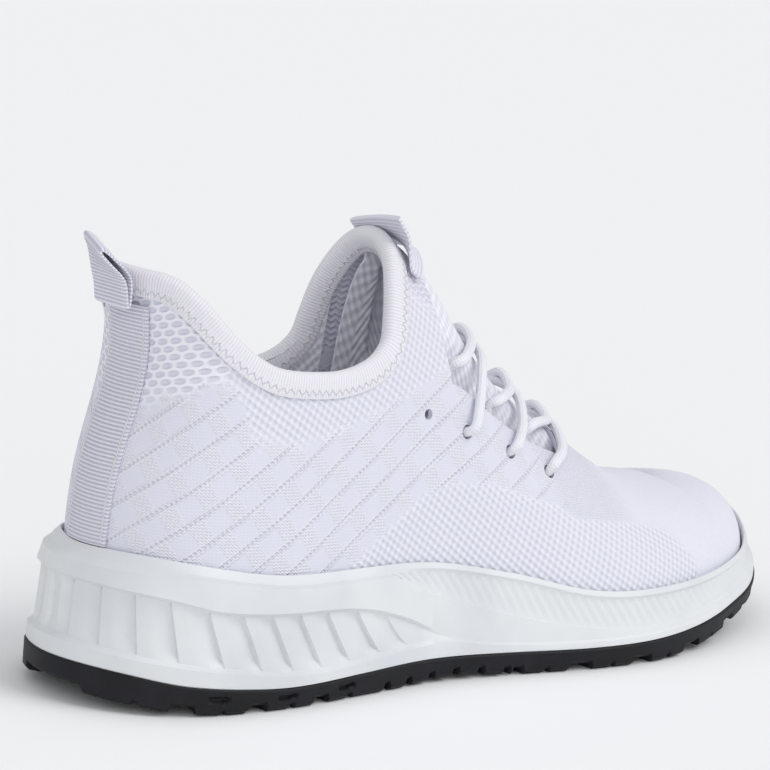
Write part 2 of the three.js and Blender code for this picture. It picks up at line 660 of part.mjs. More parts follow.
// A folded leaf of webbing, hollow across its width, that leans back from its stitched foot.
function pullLoop() {
  const lean = THREE.MathUtils.degToRad(LOOP_LEAN);
  const leaf = (inset) => {
    const points = [];
    for (let i = 0; i < 20; i += 1) {
      const angle = (2 * Math.PI * i) / 20;
      const across = (LOOP_DEPTH / 2 - inset) * Math.cos(angle);
      const up = LOOP_HEIGHT / 2 + (LOOP_HEIGHT / 2 - inset) * Math.sin(angle);
      points.push([
        loopX + across * Math.cos(lean) - up * Math.sin(lean),
        loopHinge + across * Math.sin(lean) + up * Math.cos(lean),
      ]);
    }
    return points;
  };
  return sidePrism(leaf(0), LOOP_WIDTH / 2).subtract(sidePrism(leaf(LOOP_THICKNESS), LOOP_WIDTH));
}

function tongueTab() {
  const outer = GAP + BINDING + GAP;
  const front = 0.364 * SOLE_LENGTH;
  const slope = new THREE.Vector2(-0.62, 0.78);
  const top = new THREE.Vector2(front, TONGUE_HEIGHT).addScaledVector(slope, TAB_RISE);
  const low = new THREE.Vector2(front, TONGUE_HEIGHT).addScaledVector(slope, -BINDING_DEPTH - 8);
  const side = [
    [top.x - 24, top.y - 19], [top.x + 24, top.y + 19], [low.x + 24, low.y + 19], [low.x - 24, low.y - 19],
  ];
  const y = spineY(front);
  return form(-outer - TAB_THICKNESS)
    .subtract(form(-outer))
    .intersect(sidePrism(side))
    .intersect(block(front - 30, front + 40, y - TAB_WIDTH / 2, y + TAB_WIDTH / 2, 80, 200));
}

// ---------------------------------------------------------------- sole

// Heights of the sole's side, from the rim down to the rubber.
const bandBottom = along([
  [0, HEEL_RIM_HEIGHT - 4], [0.32, HEEL_RIM_HEIGHT - 10.5], [0.39, HEEL_RIM_HEIGHT - 17],
  [0.455, FOREFOOT_RIM_HEIGHT - 1], [0.55, FOREFOOT_RIM_HEIGHT - 8], [0.66, FOREFOOT_RIM_HEIGHT - 12.5],
  [0.8, FOREFOOT_RIM_HEIGHT - 10.5], [0.9, FOREFOOT_RIM_HEIGHT - 6], [1, TOE_RIM_HEIGHT - 7.5],
]);
const stepLine = along([
  [0, HEEL_RIM_HEIGHT - 6.5], [0.08, HEEL_RIM_HEIGHT - 11], [0.12, HEEL_RIM_HEIGHT - 14.5],
  [0.17, HEEL_RIM_HEIGHT - 16.4], [0.27, HEEL_RIM_HEIGHT - 17.8], [0.32, HEEL_RIM_HEIGHT - 20],
  [0.37, HEEL_RIM_HEIGHT - 24.5], [0.4, FOREFOOT_RIM_HEIGHT - 6.4], [0.435, FOREFOOT_RIM_HEIGHT - 10.2],
  [0.5, FOREFOOT_RIM_HEIGHT - 13], [0.6, FOREFOOT_RIM_HEIGHT - 14], [0.7, FOREFOOT_RIM_HEIGHT - 13.7],
  [0.8, FOREFOOT_RIM_HEIGHT - 11.7], [0.9, FOREFOOT_RIM_HEIGHT - 7.4], [1, TOE_RIM_HEIGHT - 8.8],
]);
const ledgeLine = along([
  [0, OUTSOLE_WALL + 14.6], [0.06, OUTSOLE_WALL + 10], [0.12, OUTSOLE_WALL + 6.8],
  [0.2, OUTSOLE_WALL + 3.6], [0.27, OUTSOLE_WALL + 3.5], [0.37, OUTSOLE_WALL + 5.6],
  [0.435, OUTSOLE_WALL + 6], [0.5, OUTSOLE_WALL + 3.6], [0.6, OUTSOLE_WALL + 2.4],
  [0.7, OUTSOLE_WALL + 2.8], [0.8, OUTSOLE_WALL + 4.8], [0.9, OUTSOLE_WALL + 9.1],
  [1, OUTSOLE_WALL + 18.6],
]);
const SOLE_SPOKES = makeSpokes(2);

function soleColumn(spoke) {
  const at = (out, z) => {
    const p = spoke.root.clone().addScaledVector(spoke.direction, out);
    p.z = z;
    return p;
  };
  const edge = spoke.root.x + spoke.direction.x * (spoke.reach + LIP);
  const rim = spoke.reach + LIP;
  const wide = flare(edge);
  const top = rimHeight(edge);
  const panel = 1 - THREE.MathUtils.smoothstep(edge, 0.37 * SOLE_LENGTH, 0.435 * SOLE_LENGTH);
  const band = THREE.MathUtils.smoothstep(edge, 0.33 * SOLE_LENGTH, 0.42 * SOLE_LENGTH) * BAND_RECESS;
  const bandTop = top - 2.6;
  const bandLow = Math.min(bandBottom(edge), bandTop - 1.2);
  const step = Math.min(stepLine(edge), bandLow - 0.8);
  const ledge = Math.min(ledgeLine(edge), step - 1);
  const rubber = Math.min(rubberLine(edge), ledge - 0.6) + GAP;
  const recess = PANEL_RECESS * panel;
  const low = (share) => {
    const p = at(share * (rim + wide), 0);
    p.z = treadHeight(p.x) + OUTSOLE_BASE + GAP;
    return p;
  };
  return [
    at(0, rimHeight(spoke.root.x)),
    at(rim * 0.6, THREE.MathUtils.lerp(rimHeight(spoke.root.x), top, 0.6)),
    at(rim, top),
    at(rim + 0.22 * wide, top - 1.6),
    at(rim + 0.3 * wide - band, bandTop),
    at(rim + 0.6 * wide - band, bandLow + 0.6),
    at(rim + 0.62 * wide, bandLow),
    at(rim + 0.78 * wide, step),
    at(rim + 0.8 * wide - recess, step - Math.min(1.2, 0.3 * (step - ledge))),
    at(rim + 0.95 * wide - recess, ledge + Math.min(1.2, 0.3 * (step - ledge))),
    at(rim + wide, ledge),
    at(rim + wide - 0.4, rubber),
    low(0.9),
    low(0.45),
    low(0),
  ];
}

function midsole() {
  return solidOfColumns(SOLE_SPOKES.map(soleColumn)).subtract(form(-GAP, -GAP));
}

function outsoleBody() {
  const columns = SOLE_SPOKES.map((spoke) => {
    const midsoleColumn = soleColumn(spoke);
    const [edge, ...under] = midsoleColumn.slice(-4);
    const top = [edge, ...under].map((p) => p.clone().setZ(p.z - GAP));
    const out = spoke.direction;
    const side = top[0].clone().addScaledVector(out, 0.5).setZ(top[0].z - 0.8);
    const corner = side.clone();
    corner.z = Math.min(treadHeight(corner.x) + EDGE_ROUND, side.z - 1);
    const foot = [0.93, 0.5, 0].map((share) => {
      const p = spoke.root.clone().lerp(corner, share);
      return p.setZ(treadHeight(p.x));
    });
    return [...top.toReversed(), side, corner, ...foot];
  });
  return solidOfColumns(columns);
}

// Gaps between the lugs: slanting grooves from a middle channel out through both edges.
function treadGaps() {
  const gaps = [];
  for (let x = LUG_PITCH; x < SOLE_LENGTH - 6; x += LUG_PITCH) {
    for (const side of [-1, 1]) {
      const gap = new THREE.BoxGeometry(LUG_GAP, 60, 6);
      gap.rotateZ(side * 0.2);
      gap.translate(x, spineY(x) + side * 36, treadHeight(x) + LUG_DEPTH - 3);
      gaps.push(toManifold(gap));
    }
  }
  return wasm.Manifold.union(gaps);
}

function outsole() {
  return outsoleBody().subtract(treadGaps());
}

// ---------------------------------------------------------------- assembly

const group = new THREE.Group();

function addPart(name, solid, colour, roughness) {
  const material = new THREE.MeshStandardMaterial({ color: colour, roughness, metalness: 0 });
  const mesh = new THREE.Mesh(toGeometry(solid), material);
  mesh.name = name;
  group.add(mesh);
}

addPart('outsole', outsole(), '#1c1c20', 0.6);
addPart('midsole', midsole(), '#dce1e6', 0.45);
addPart('lasting_board', lastingBoard(), '#d8d4c8', 0.95);
addPart('insole', insole(), '#dcdfe8', 0.9);
addPart('knit_upper', knitUpper(), '#dee0ee', 0.9);
addPart('heel_counter', heelCounter(), '#c9c9c4', 0.6);
addPart('toe_puff', toePuff(), '#c9c9c4', 0.6);
addPart('collar_padding', collarPadding(), '#e8e6dc', 0.95);
addPart('collar_lining', collarLining(), '#d6d8e6', 0.95);
addPart('throat_underlay', throatUnderlay(), '#d2d4e4', 0.95);
addPart('eyelet_backing_outer', eyeletBacking(-1), '#dcdde6', 0.8);
addPart('eyelet_backing_inner', eyeletBacking(1), '#dcdde6', 0.8);
addPart('collar_binding', collarBinding(), '#e8e6ee', 0.7);
addPart('heel_strip', heelStrip(), '#dcdde8', 0.8);
addPart('pull_loop', pullLoop(), '#dcdde8', 0.8);
addPart('tongue_tab', tongueTab(), '#dcdde8', 0.8);

addPart('lace', lace(), '#eceef4', 0.75);
addPart('lace_tip_inner', laceTip(false), '#e6e8ee', 0.3);
addPart('lace_tip_outer', laceTip(true), '#e6e8ee', 0.3);

// The origin is under the middle of the sole, on the ground.
const extent = new THREE.Box3().setFromObject(group);
const middle = extent.getCenter(new THREE.Vector3());
group.position.set(-middle.x, -middle.y, -extent.min.z);

export default group;
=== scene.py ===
"""A right running shoe with a knitted upper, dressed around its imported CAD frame.

Lengths are millimetres, measured forward from the back end of the sole, inward from its centre line
and up from the ground, until metres() turns them into the CAD frame.
"""

from __future__ import annotations

import json
import logging
import math
from collections.abc import Callable, Sequence
from dataclasses import dataclass, field
from enum import Enum

import bpy
from mathutils import Matrix, Vector
from mathutils.bvhtree import BVHTree
from mathutils.kdtree import KDTree

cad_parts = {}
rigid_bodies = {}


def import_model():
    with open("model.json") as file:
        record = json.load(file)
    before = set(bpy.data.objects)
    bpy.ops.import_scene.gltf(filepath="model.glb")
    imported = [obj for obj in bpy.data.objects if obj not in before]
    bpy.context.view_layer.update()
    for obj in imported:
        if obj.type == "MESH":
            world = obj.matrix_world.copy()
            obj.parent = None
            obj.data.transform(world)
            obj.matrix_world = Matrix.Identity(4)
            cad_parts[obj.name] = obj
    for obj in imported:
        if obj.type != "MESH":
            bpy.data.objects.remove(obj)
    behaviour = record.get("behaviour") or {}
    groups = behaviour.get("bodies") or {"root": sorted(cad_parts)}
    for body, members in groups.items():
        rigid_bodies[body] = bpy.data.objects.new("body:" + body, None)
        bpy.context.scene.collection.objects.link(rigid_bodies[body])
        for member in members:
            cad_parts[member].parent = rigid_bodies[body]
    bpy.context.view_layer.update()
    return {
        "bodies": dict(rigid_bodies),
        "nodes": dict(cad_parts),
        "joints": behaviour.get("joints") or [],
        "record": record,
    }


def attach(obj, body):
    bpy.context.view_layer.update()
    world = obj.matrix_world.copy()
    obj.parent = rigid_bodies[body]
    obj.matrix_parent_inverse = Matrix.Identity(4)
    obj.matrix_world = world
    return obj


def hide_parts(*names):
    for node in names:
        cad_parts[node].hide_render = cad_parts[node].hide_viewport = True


LOG = logging.getLogger("shoe")

SOLE_LENGTH = 295.0  # heel to toe
SOLE_HALF_WIDTH = 49.0  # widest half of the forefoot
TOE_SPRING = 17.5  # toe tip of the outsole above the ground
SPRING_START = 0.69  # where the toe spring starts, along the sole
HEEL_BEVEL = 4.4  # back edge of the outsole above the ground
BEVEL_END = 0.13  # where the heel bevel runs out
ARCH_STATION = 0.44  # middle of the arch, along the sole
ARCH_HALF_LENGTH = 0.09
ARCH_LIFT = 1.4  # tread above the ground under the arch
FRAME_SHIFT = Vector((147.75, -0.85, 0.0))  # the CAD frame's origin, from the back of the heel
MM = 0.001

Pair = tuple[float, float]


def metres(point: Vector) -> Vector:
    """The point in the CAD frame, in metres."""
    return (point - FRAME_SHIFT) * MM


def lerp(a: float, b: float, share: float) -> float:
    """The value a share of the way from a to b."""
    return a + (b - a) * share


def clamp(value: float, low: float = 0.0, high: float = 1.0) -> float:
    """The value kept between two limits."""
    return min(max(value, low), high)


def smoothstep(value: float, low: float, high: float) -> float:
    """0 below low, 1 above high, and smooth between them."""
    share = clamp((value - low) / (high - low))
    return share * share * (3 - 2 * share)


@dataclass(frozen=True)
class Along:
    """A smooth value along the sole, through (share of its length, value) points."""

    points: tuple[Pair, ...]

    def _slope(self, i: int) -> float:
        """Slope at a point, from its neighbours."""
        a = self.points[max(i - 1, 0)]
        b = self.points[min(i + 1, len(self.points) - 1)]
        return (b[1] - a[1]) / (b[0] - a[0])

    def __call__(self, x: float) -> float:
        """The value at a station in millimetres."""
        s = clamp(x / SOLE_LENGTH, self.points[0][0], self.points[-1][0])
        i = 0
        while i < len(self.points) - 2 and s > self.points[i + 1][0]:
            i += 1
        (x0, y0), (x1, y1) = self.points[i : i + 2]
        h = x1 - x0
        t = (s - x0) / h
        start = (1 + 2 * t) * (1 - t) ** 2 * y0 + t * (1 - t) ** 2 * h * self._slope(i)
        return start + t * t * (3 - 2 * t) * y1 + t * t * (t - 1) * h * self._slope(i + 1)


def catmull(points: Sequence[Vector], steps: int, closed: bool = False) -> list[Vector]:
    """Points along a smooth curve through the given ones.

    Args:
        points: what the curve passes through.
        steps: steps for each stretch between two of them.
        closed: whether the curve returns to its start.

    Returns:
        The points, without a repeated end when closed.
    """
    count = len(points)
    at = (lambda i: points[i % count]) if closed else (lambda i: points[min(max(i, 0), count - 1)])
    out = []
    for i in range(count if closed else count - 1):
        a, b, c, d = (at(i + k) for k in (-1, 0, 1, 2))
        for j in range(steps):
            t = j / steps
            out.append(
                0.5 * (2 * b + (c - a) * t + (2 * a - 5 * b + 4 * c - d) * t * t
                       + (3 * b - a - 3 * c + d) * t**3)
            )
    if not closed:
        out.append(points[-1].copy())
    return out


def centripetal(points: Sequence[Vector], steps: int) -> list[Vector]:
    """Points of a closed centripetal curve through the given ones, steps to each stretch."""
    count = len(points)
    out = []
    for i in range(count):
        p = [points[(i + k) % count] for k in (-1, 0, 1, 2)]
        d = [(p[k + 1] - p[k]).length ** 0.5 for k in range(3)]
        a = ((p[1] - p[0]) / d[0] - (p[2] - p[0]) / (d[0] + d[1]) + (p[2] - p[1]) / d[1]) * d[1]
        b = ((p[2] - p[1]) / d[1] - (p[3] - p[1]) / (d[1] + d[2]) + (p[3] - p[2]) / d[2]) * d[1]
        for j in range(steps):
            t = j / steps
            out.append(
                p[1] + a * t + (-3 * p[1] + 3 * p[2] - 2 * a - b) * t * t
                + (2 * p[1] - 2 * p[2] + a + b) * t**3
            )
    return out


def evenly(points: Sequence[Vector], count: int) -> list[Vector]:
    """The line through the points, cut again into count equal steps."""
    lengths = [0.0]
    for a, b in zip(points, points[1:]):
        lengths.append(lengths[-1] + (b - a).length)
    out = []
    k = 0
    for i in range(count + 1):
        target = lengths[-1] * i / count
        while k < len(points) - 2 and lengths[k + 1] < target:
            k += 1
        span = max(lengths[k + 1] - lengths[k], 1e-9)
        out.append(points[k].lerp(points[k + 1], clamp((target - lengths[k]) / span)))
    return out


# ---------------------------------------------------------------- the foot form


@dataclass(frozen=True)
class Spoke:
    """A half section of the form: its root on the spine, its way out, and its curve's handles."""

    x: float
    y: float
    out_x: float
    out_y: float
    reach: float
    low: float
    high: float
    rise: float
    crown: float
    back: float


@dataclass
class FootForm:
    """The outside of the knit as a surface. Every layer lies at its own depth below it."""

    heel_collar: float = 128.0
    tongue: float = 136.5
    instep: float = 79.0
    toe_box: float = 45.0
    heel_rim: float = 46.0
    forefoot_rim: float = 24.0
    toe_rim: float = 35.0
    heel_tuck: float = 9.5
    heel_fan: float = 0.155
    toe_fan: float = 0.85
    outline: list[Vector] = field(init=False)

    def __post_init__(self) -> None:
        """Sets out the curves along the sole and the plan outline."""
        fore, heel = self.forefoot_rim, self.heel_rim
        self.rim = Along((
            (0, heel), (0.06, heel), (0.2, heel - 6.5), (0.4, heel - 8.5), (0.51, fore + 8),
            (0.61, fore + 1), (0.7, fore - 0.6), (0.85, fore + 0.8),
            (0.93, lerp(fore, self.toe_rim, 0.35)), (1, self.toe_rim),
        ))
        self.floor = Along((
            (0, 32), (0.15, 30), (0.4, 27), (0.55, 21), (0.7, 17.5), (0.85, 18.7), (1, 26),
        ))
        self.ridge = Along((
            (0.15, self.tongue + 56), (0.27, self.tongue + 33), (0.38, self.tongue + 1),
            (0.44, self.tongue - 10), (0.5, self.tongue - 30.5), (0.56, self.instep + 10),
            (0.62, self.instep - 2), (0.7, self.toe_box + 16), (0.76, self.toe_box + 6.5),
            (0.85, self.toe_box + 1.5),
        ))
        self.wall_rise = Along((
            (0.15, 0.72), (0.3, 0.66), (0.38, 0.62), (0.5, 0.55), (0.65, 0.5), (0.85, 0.72),
        ))
        self.crown_width = Along((
            (0.15, 0.66), (0.3, 0.7), (0.38, 0.78), (0.5, 0.5), (0.58, 0.36), (0.7, 0.42),
            (0.85, 0.62),
        ))
        self.spine = Along(((0, 0), (0.4, 1), (0.55, 2.5), (0.7, 5.5), (0.85, 8)))
        corners = (
            (0.034, 0), (0.043, -0.22), (0.066, -0.44), (0.105, -0.6), (0.2, -0.7), (0.305, -0.68),
            (0.407, -0.66), (0.505, -0.75), (0.607, -0.88), (0.692, -0.92), (0.776, -0.845),
            (0.855, -0.67), (0.92, -0.43), (0.965, -0.1), (0.982, 0.18), (0.976, 0.36),
            (0.953, 0.52), (0.908, 0.7), (0.831, 0.85), (0.746, 0.885), (0.678, 0.82),
            (0.576, 0.66), (0.475, 0.54), (0.39, 0.54), (0.305, 0.61), (0.2, 0.66),
            (0.105, 0.58), (0.062, 0.42), (0.041, 0.21),
        )
        self.outline = centripetal(
            [Vector((x * SOLE_LENGTH, y * SOLE_HALF_WIDTH, 0)) for x, y in corners], 14
        )

    def reach_to(self, x: float, y: float, out_x: float, out_y: float) -> float:
        """Distance from a point inside the outline to the outline, in a direction."""
        best = 0.0
        previous = self.outline[-1]
        for point in self.outline:
            ax, ay = previous.x - x, previous.y - y
            ex, ey = point.x - previous.x, point.y - previous.y
            previous = point
            det = out_y * ex - out_x * ey
            if abs(det) < 1e-9:
                continue
            distance = (ay * ex - ax * ey) / det
            share = (out_x * ay - out_y * ax) / det
            if -1e-6 <= share <= 1 + 1e-6 and distance > best:
                best = distance
        return best

    def spoke(self, x: float, angle: float) -> Spoke:
        """The spoke from the spine at a station, in a plan direction."""
        y = self.spine(x)
        out_x, out_y = math.cos(angle), math.sin(angle)
        reach = self.reach_to(x, y, out_x, out_y)
        low = self.floor(x + out_x * reach)
        return Spoke(x, y, out_x, out_y, reach, low, self.ridge(x), self.wall_rise(x),
                     self.crown_width(x), max(0.0, -out_x))

    def ring(self, heel: int, side: int, toe: int) -> list[Spoke]:
        """Spokes once round, from the middle of the heel by the outer side.

        Args:
            heel: steps of a quarter turn at the heel.
            side: steps along each straight side.
            toe: steps of the half turn at the toe.

        Returns:
            The spokes, the first one repeated at the end.
        """
        start, end = self.heel_fan * SOLE_LENGTH, self.toe_fan * SOLE_LENGTH
        quarter = math.pi / 2
        ways = [(start, math.pi + quarter * i / heel) for i in range(heel)]
        ways += [(lerp(start, end, i / side), -quarter) for i in range(side)]
        ways += [(end, -quarter + math.pi * i / toe) for i in range(toe)]
        ways += [(lerp(end, start, i / side), quarter) for i in range(side)]
        ways += [(start, quarter + quarter * i / heel) for i in range(heel)]
        spokes = [self.spoke(x, angle) for x, angle in ways]
        return [*spokes, spokes[0]]

    def tuck(self, z: float) -> float:
        """How far the heel leans forward at a height."""
        s = clamp((z - self.heel_rim) / (self.heel_collar - self.heel_rim), 0, 1.6)
        return self.heel_tuck * math.exp(-(((s - 0.68) / 0.34) ** 2))

    def section(self, spoke: Spoke, t: float) -> Pair:
        """Distance out and height of a section's point, t being 0 at the floor and 1 on top."""
        q = 1 - t
        tall = spoke.high - spoke.low
        out = spoke.reach * (q**3 + 3 * q * q * t + 3 * q * t * t * spoke.crown)
        z = spoke.low + 3 * q * q * t * spoke.rise * tall + (3 * q * t * t + t**3) * tall
        if spoke.back:
            out -= self.tuck(z) * spoke.back**2 * min(1.0, q * 4)
        return out, z

    def point(self, spoke: Spoke, t: float, depth: float) -> Vector:
        """A point of the form, sunk square to its section by a depth."""
        out, z = self.section(spoke, t)
        if t >= 1:
            return Vector((spoke.x, spoke.y, z - depth))
        r0, z0 = self.section(spoke, max(t - 1e-3, 0))
        r1, z1 = self.section(spoke, min(t + 1e-3, 1))
        length = math.hypot(r1 - r0, z1 - z0)
        reach = max(out - depth * (z1 - z0) / length, 0.02 * spoke.reach)
        z -= depth * (r0 - r1) / length
        return Vector((spoke.x + spoke.out_x * reach, spoke.y + spoke.out_y * reach, z))

    def at_height(self, spoke: Spoke, z: float) -> float:
        """Share t of the section at which it reaches a height."""
        low, high = 0.0, 1.0
        for _ in range(16):
            middle = (low + high) / 2
            if self.section(spoke, middle)[1] < z:
                low = middle
            else:
                high = middle
        return low

    def on(self, x: float, side: int, t: float, depth: float) -> Vector:
        """A point of the straight section over a station, on the outer (-1) or inner (1) side."""
        return self.point(self.spoke(x, side * math.pi / 2), t, depth)


# ---------------------------------------------------------------- meshes


def deselect() -> None:
    """Leaves nothing selected."""
    bpy.ops.object.select_all(action="DESELECT")


def make_active(piece: bpy.types.Object) -> None:
    """Selects one object alone."""
    deselect()
    piece.select_set(True)
    bpy.context.view_layer.objects.active = piece


def apply_modifier(piece: bpy.types.Object, kind: str, **settings: object) -> None:
    """Adds a modifier with its settings and applies it."""
    make_active(piece)
    modifier = piece.modifiers.new(kind.lower(), kind)
    for name, value in settings.items():
        setattr(modifier, name, value)
    bpy.ops.object.modifier_apply(modifier=modifier.name)


def clean(piece: bpy.types.Object, recalculate: bool = True, merge: float = 2e-6) -> None:
    """Merges doubled vertices and turns the faces outwards."""
    make_active(piece)
    bpy.ops.object.mode_set(mode="EDIT")
    bpy.ops.mesh.select_all(action="SELECT")
    bpy.ops.mesh.remove_doubles(threshold=merge)
    if recalculate:
        bpy.ops.mesh.normals_make_consistent(inside=False)
    bpy.ops.object.mode_set(mode="OBJECT")


def fill_ends(piece: bpy.types.Object) -> None:
    """Closes the piece's open ends and turns the faces outwards."""
    make_active(piece)
    bpy.ops.object.mode_set(mode="EDIT")
    bpy.ops.mesh.select_all(action="DESELECT")
    bpy.ops.mesh.select_non_manifold()
    bpy.ops.mesh.edge_face_add()
    bpy.ops.mesh.select_all(action="SELECT")
    bpy.ops.mesh.normals_make_consistent(inside=False)
    bpy.ops.object.mode_set(mode="OBJECT")


def smooth(piece: bpy.types.Object, degrees: float = 40.0) -> None:
    """Shades the piece smooth, with edges sharper than an angle left crisp."""
    make_active(piece)
    bpy.ops.object.shade_smooth_by_angle(angle=math.radians(degrees))


def shaped_grid(
    name: str, columns: int, rows: int, place: Callable[[int, int], Vector],
    unwrap: Callable[[int, int], Pair] | None = None,
) -> bpy.types.Object:
    """A grid primitive whose corners are moved to their places.

    Args:
        name: the piece's name.
        columns: faces one way.
        rows: faces the other way.
        place: the place of the corner in a column and row, in millimetres.
        unwrap: its place on the UV map, in centimetres of cloth.

    Returns:
        The piece, in metres in the CAD frame.
    """
    deselect()
    bpy.ops.mesh.primitive_grid_add(x_subdivisions=columns, y_subdivisions=rows, size=1)
    piece = bpy.context.active_object
    piece.name = piece.data.name = name
    mesh = piece.data
    cells = [(round((v.co.x + 0.5) * columns), round((v.co.y + 0.5) * rows)) for v in mesh.vertices]
    for vertex, (i, j) in zip(mesh.vertices, cells):
        vertex.co = metres(place(i, j))
    if unwrap:
        layer = mesh.uv_layers[0].data
        for loop in mesh.loops:
            layer[loop.index].uv = unwrap(*cells[loop.vertex_index])
    mesh.update()
    return piece


def tube(
    name: str, path: Sequence[Vector], ups: Sequence[Vector], wide: float, thick: float,
    sides: int = 12, closed: bool = False,
) -> bpy.types.Object:
    """An oval cord along a path.

    Args:
        name: the piece's name.
        path: its centre line.
        ups: for each point, the direction of the oval's short way.
        wide: the oval's long way across.
        thick: its short way across.
        sides: corners of the oval.
        closed: whether the path joins its own start.

    Returns:
        The piece, with lengths along and round it on its UV map.
    """
    count = len(path)
    frames = []
    for i, (point, up) in enumerate(zip(path, ups)):
        after = path[(i + 1) % count] if closed else path[min(i + 1, count - 1)]
        before = path[i - 1] if closed or i else path[0]
        way = (after - before).normalized()
        side = way.cross(up).normalized()
        frames.append((point, side, side.cross(way).normalized()))
    lengths = [0.0]
    for a, b in zip(path, path[1:]):
        lengths.append(lengths[-1] + (b - a).length)
    lengths.append(lengths[-1] + (path[0] - path[-1]).length)
    columns = count if closed else count - 1

    def place(i: int, j: int) -> Vector:
        point, side, up = frames[i % count]
        angle = 2 * math.pi * j / sides
        return point + side * (wide / 2 * math.cos(angle)) + up * (thick / 2 * math.sin(angle))

    def unwrap(i: int, j: int) -> Pair:
        return lengths[i] / 10, j / sides

    piece = shaped_grid(name, columns, sides, place, unwrap)
    clean(piece)
    if not closed:
        fill_ends(piece)
    smooth(piece, 60)
    return piece


def joined(name: str, pieces: Sequence[bpy.types.Object]) -> bpy.types.Object:
    """Several pieces made into one mesh."""
    deselect()
    for piece in pieces:
        piece.select_set(True)
    bpy.context.view_layer.objects.active = pieces[0]
    if len(pieces) > 1:
        bpy.ops.object.join()
    bpy.context.active_object.name = bpy.context.active_object.data.name = name
    return bpy.context.active_object


def cut(piece: bpy.types.Object, cutter: bpy.types.Object) -> None:
    """Takes a cutter's solid out of a piece and removes the cutter."""
    apply_modifier(piece, "BOOLEAN", object=cutter, operation="DIFFERENCE", solver="EXACT")
    bpy.data.objects.remove(cutter)


def settle(
    piece: bpy.types.Object, material: bpy.types.Material, slot: str, *nodes: str,
    body: str = "shoe",
) -> bpy.types.Object:
    """Dresses a finished piece, lets it ride on its body, and hides the CAD nodes that it stands
    for.
    """
    piece.data.materials.clear()
    piece.data.materials.append(material)
    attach(piece, body)
    if nodes:
        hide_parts(*nodes)
    LOG.info("%s: %d faces", piece.name, len(piece.data.polygons))
    return piece


# ---------------------------------------------------------------- shader expressions


@dataclass(frozen=True)
class Wire:
    """A shader value that takes part in Python expressions."""

    nodes: "Nodes"
    socket: bpy.types.NodeSocket

    def _math(self, operation: str, *values: "Wire | float") -> "Wire":
        """A Math node on some values."""
        return self.nodes.add("Math", {"operation": operation}, dict(enumerate(values)))

    def __add__(self, other: "Wire | float") -> "Wire":
        """Sum."""
        return self._math("ADD", self, other)

    __radd__ = __add__

    def __sub__(self, other: "Wire | float") -> "Wire":
        """Difference."""
        return self._math("SUBTRACT", self, other)

    def __rsub__(self, other: float) -> "Wire":
        """Difference from a number."""
        return self._math("SUBTRACT", other, self)

    def __mul__(self, other: "Wire | float") -> "Wire":
        """Product."""
        return self._math("MULTIPLY", self, other)

    __rmul__ = __mul__

    def __truediv__(self, other: float) -> "Wire":
        """Quotient."""
        return self._math("DIVIDE", self, other)

    def __pow__(self, other: float) -> "Wire":
        """Power."""
        return self._math("POWER", self, other)

    def sin(self) -> "Wire":
        """Sine."""
        return self._math("SINE", self)

    def size(self) -> "Wire":
        """Absolute value."""
        return self._math("ABSOLUTE", self)

    def fract(self) -> "Wire":
        """The part above the floor."""
        return self._math("FRACT", self)

    def floor(self) -> "Wire":
        """The whole number below."""
        return self._math("FLOOR", self)

    def up_to(self, other: "Wire | float") -> "Wire":
        """The smaller of two values."""
        return self._math("MINIMUM", self, other)

    def step(self, low: float, high: float) -> "Wire":
        """Smooth step from 0 at low to 1 at high, which may be below low."""
        if low > high:
            return 1 - self.step(high, low)
        settings = {"interpolation_type": "SMOOTHSTEP"}
        return self.nodes.add("MapRange", settings, {0: self, 1: low, 2: high, 3: 0.0, 4: 1.0})


@dataclass
class Nodes:
    """The node tree of one material, with the few nodes that its patterns are made from."""

    tree: bpy.types.NodeTree

    def add(
        self, kind: str, settings: dict[str, object] | None = None,
        inputs: dict[int | str, object] | None = None, output: int | str = 0,
    ) -> Wire:
        """A node of a kind.

        Args:
            kind: the node's type without its prefix.
            settings: its properties, set before its inputs.
            inputs: for each socket a wire or a value.
            output: the socket that is returned.

        Returns:
            The chosen output.
        """
        node = self.tree.nodes.new("ShaderNode" + kind)
        for name, value in (settings or {}).items():
            setattr(node, name, value)
        for key, value in (inputs or {}).items():
            if isinstance(value, Wire):
                self.tree.links.new(value.socket, node.inputs[key])
            else:
                node.inputs[key].default_value = value
        return Wire(self, node.outputs[output])

    def cloth(self) -> tuple[Wire, Wire]:
        """Millimetres along and across the cloth, from the UV map."""
        uv = self.add("UVMap", {"uv_map": "UVMap"})
        split = self.add("SeparateXYZ", None, {0: uv})
        return split * 10, Wire(self, split.socket.node.outputs[1]) * 10

    def zone(self, name: str) -> Wire:
        """A weight painted on the piece's vertices."""
        return self.add("Attribute", {"attribute_name": name}, None, "Fac")

    def noise(self, scale: float, detail: float = 2.0) -> Wire:
        """Soft noise on object coordinates, scale per metre."""
        spot = self.add("TexCoord", None, None, "Object")
        return self.add("TexNoise", None, {"Vector": spot, "Scale": scale, "Detail": detail})

    def tint(self, share: Wire, low: Sequence[float], high: Sequence[float]) -> Wire:
        """Colour between two."""
        settings = {"data_type": "RGBA", "clamp_factor": True}
        return self.add("Mix", settings, {0: share, 6: (*low, 1), 7: (*high, 1)}, 2)

    def bump(self, height: Wire, distance: float, strength: float = 1.0) -> Wire:
        """A normal from a height, whose full range stands a distance in metres."""
        inputs = {"Strength": strength, "Distance": distance, "Height": height}
        return self.add("Bump", None, inputs)


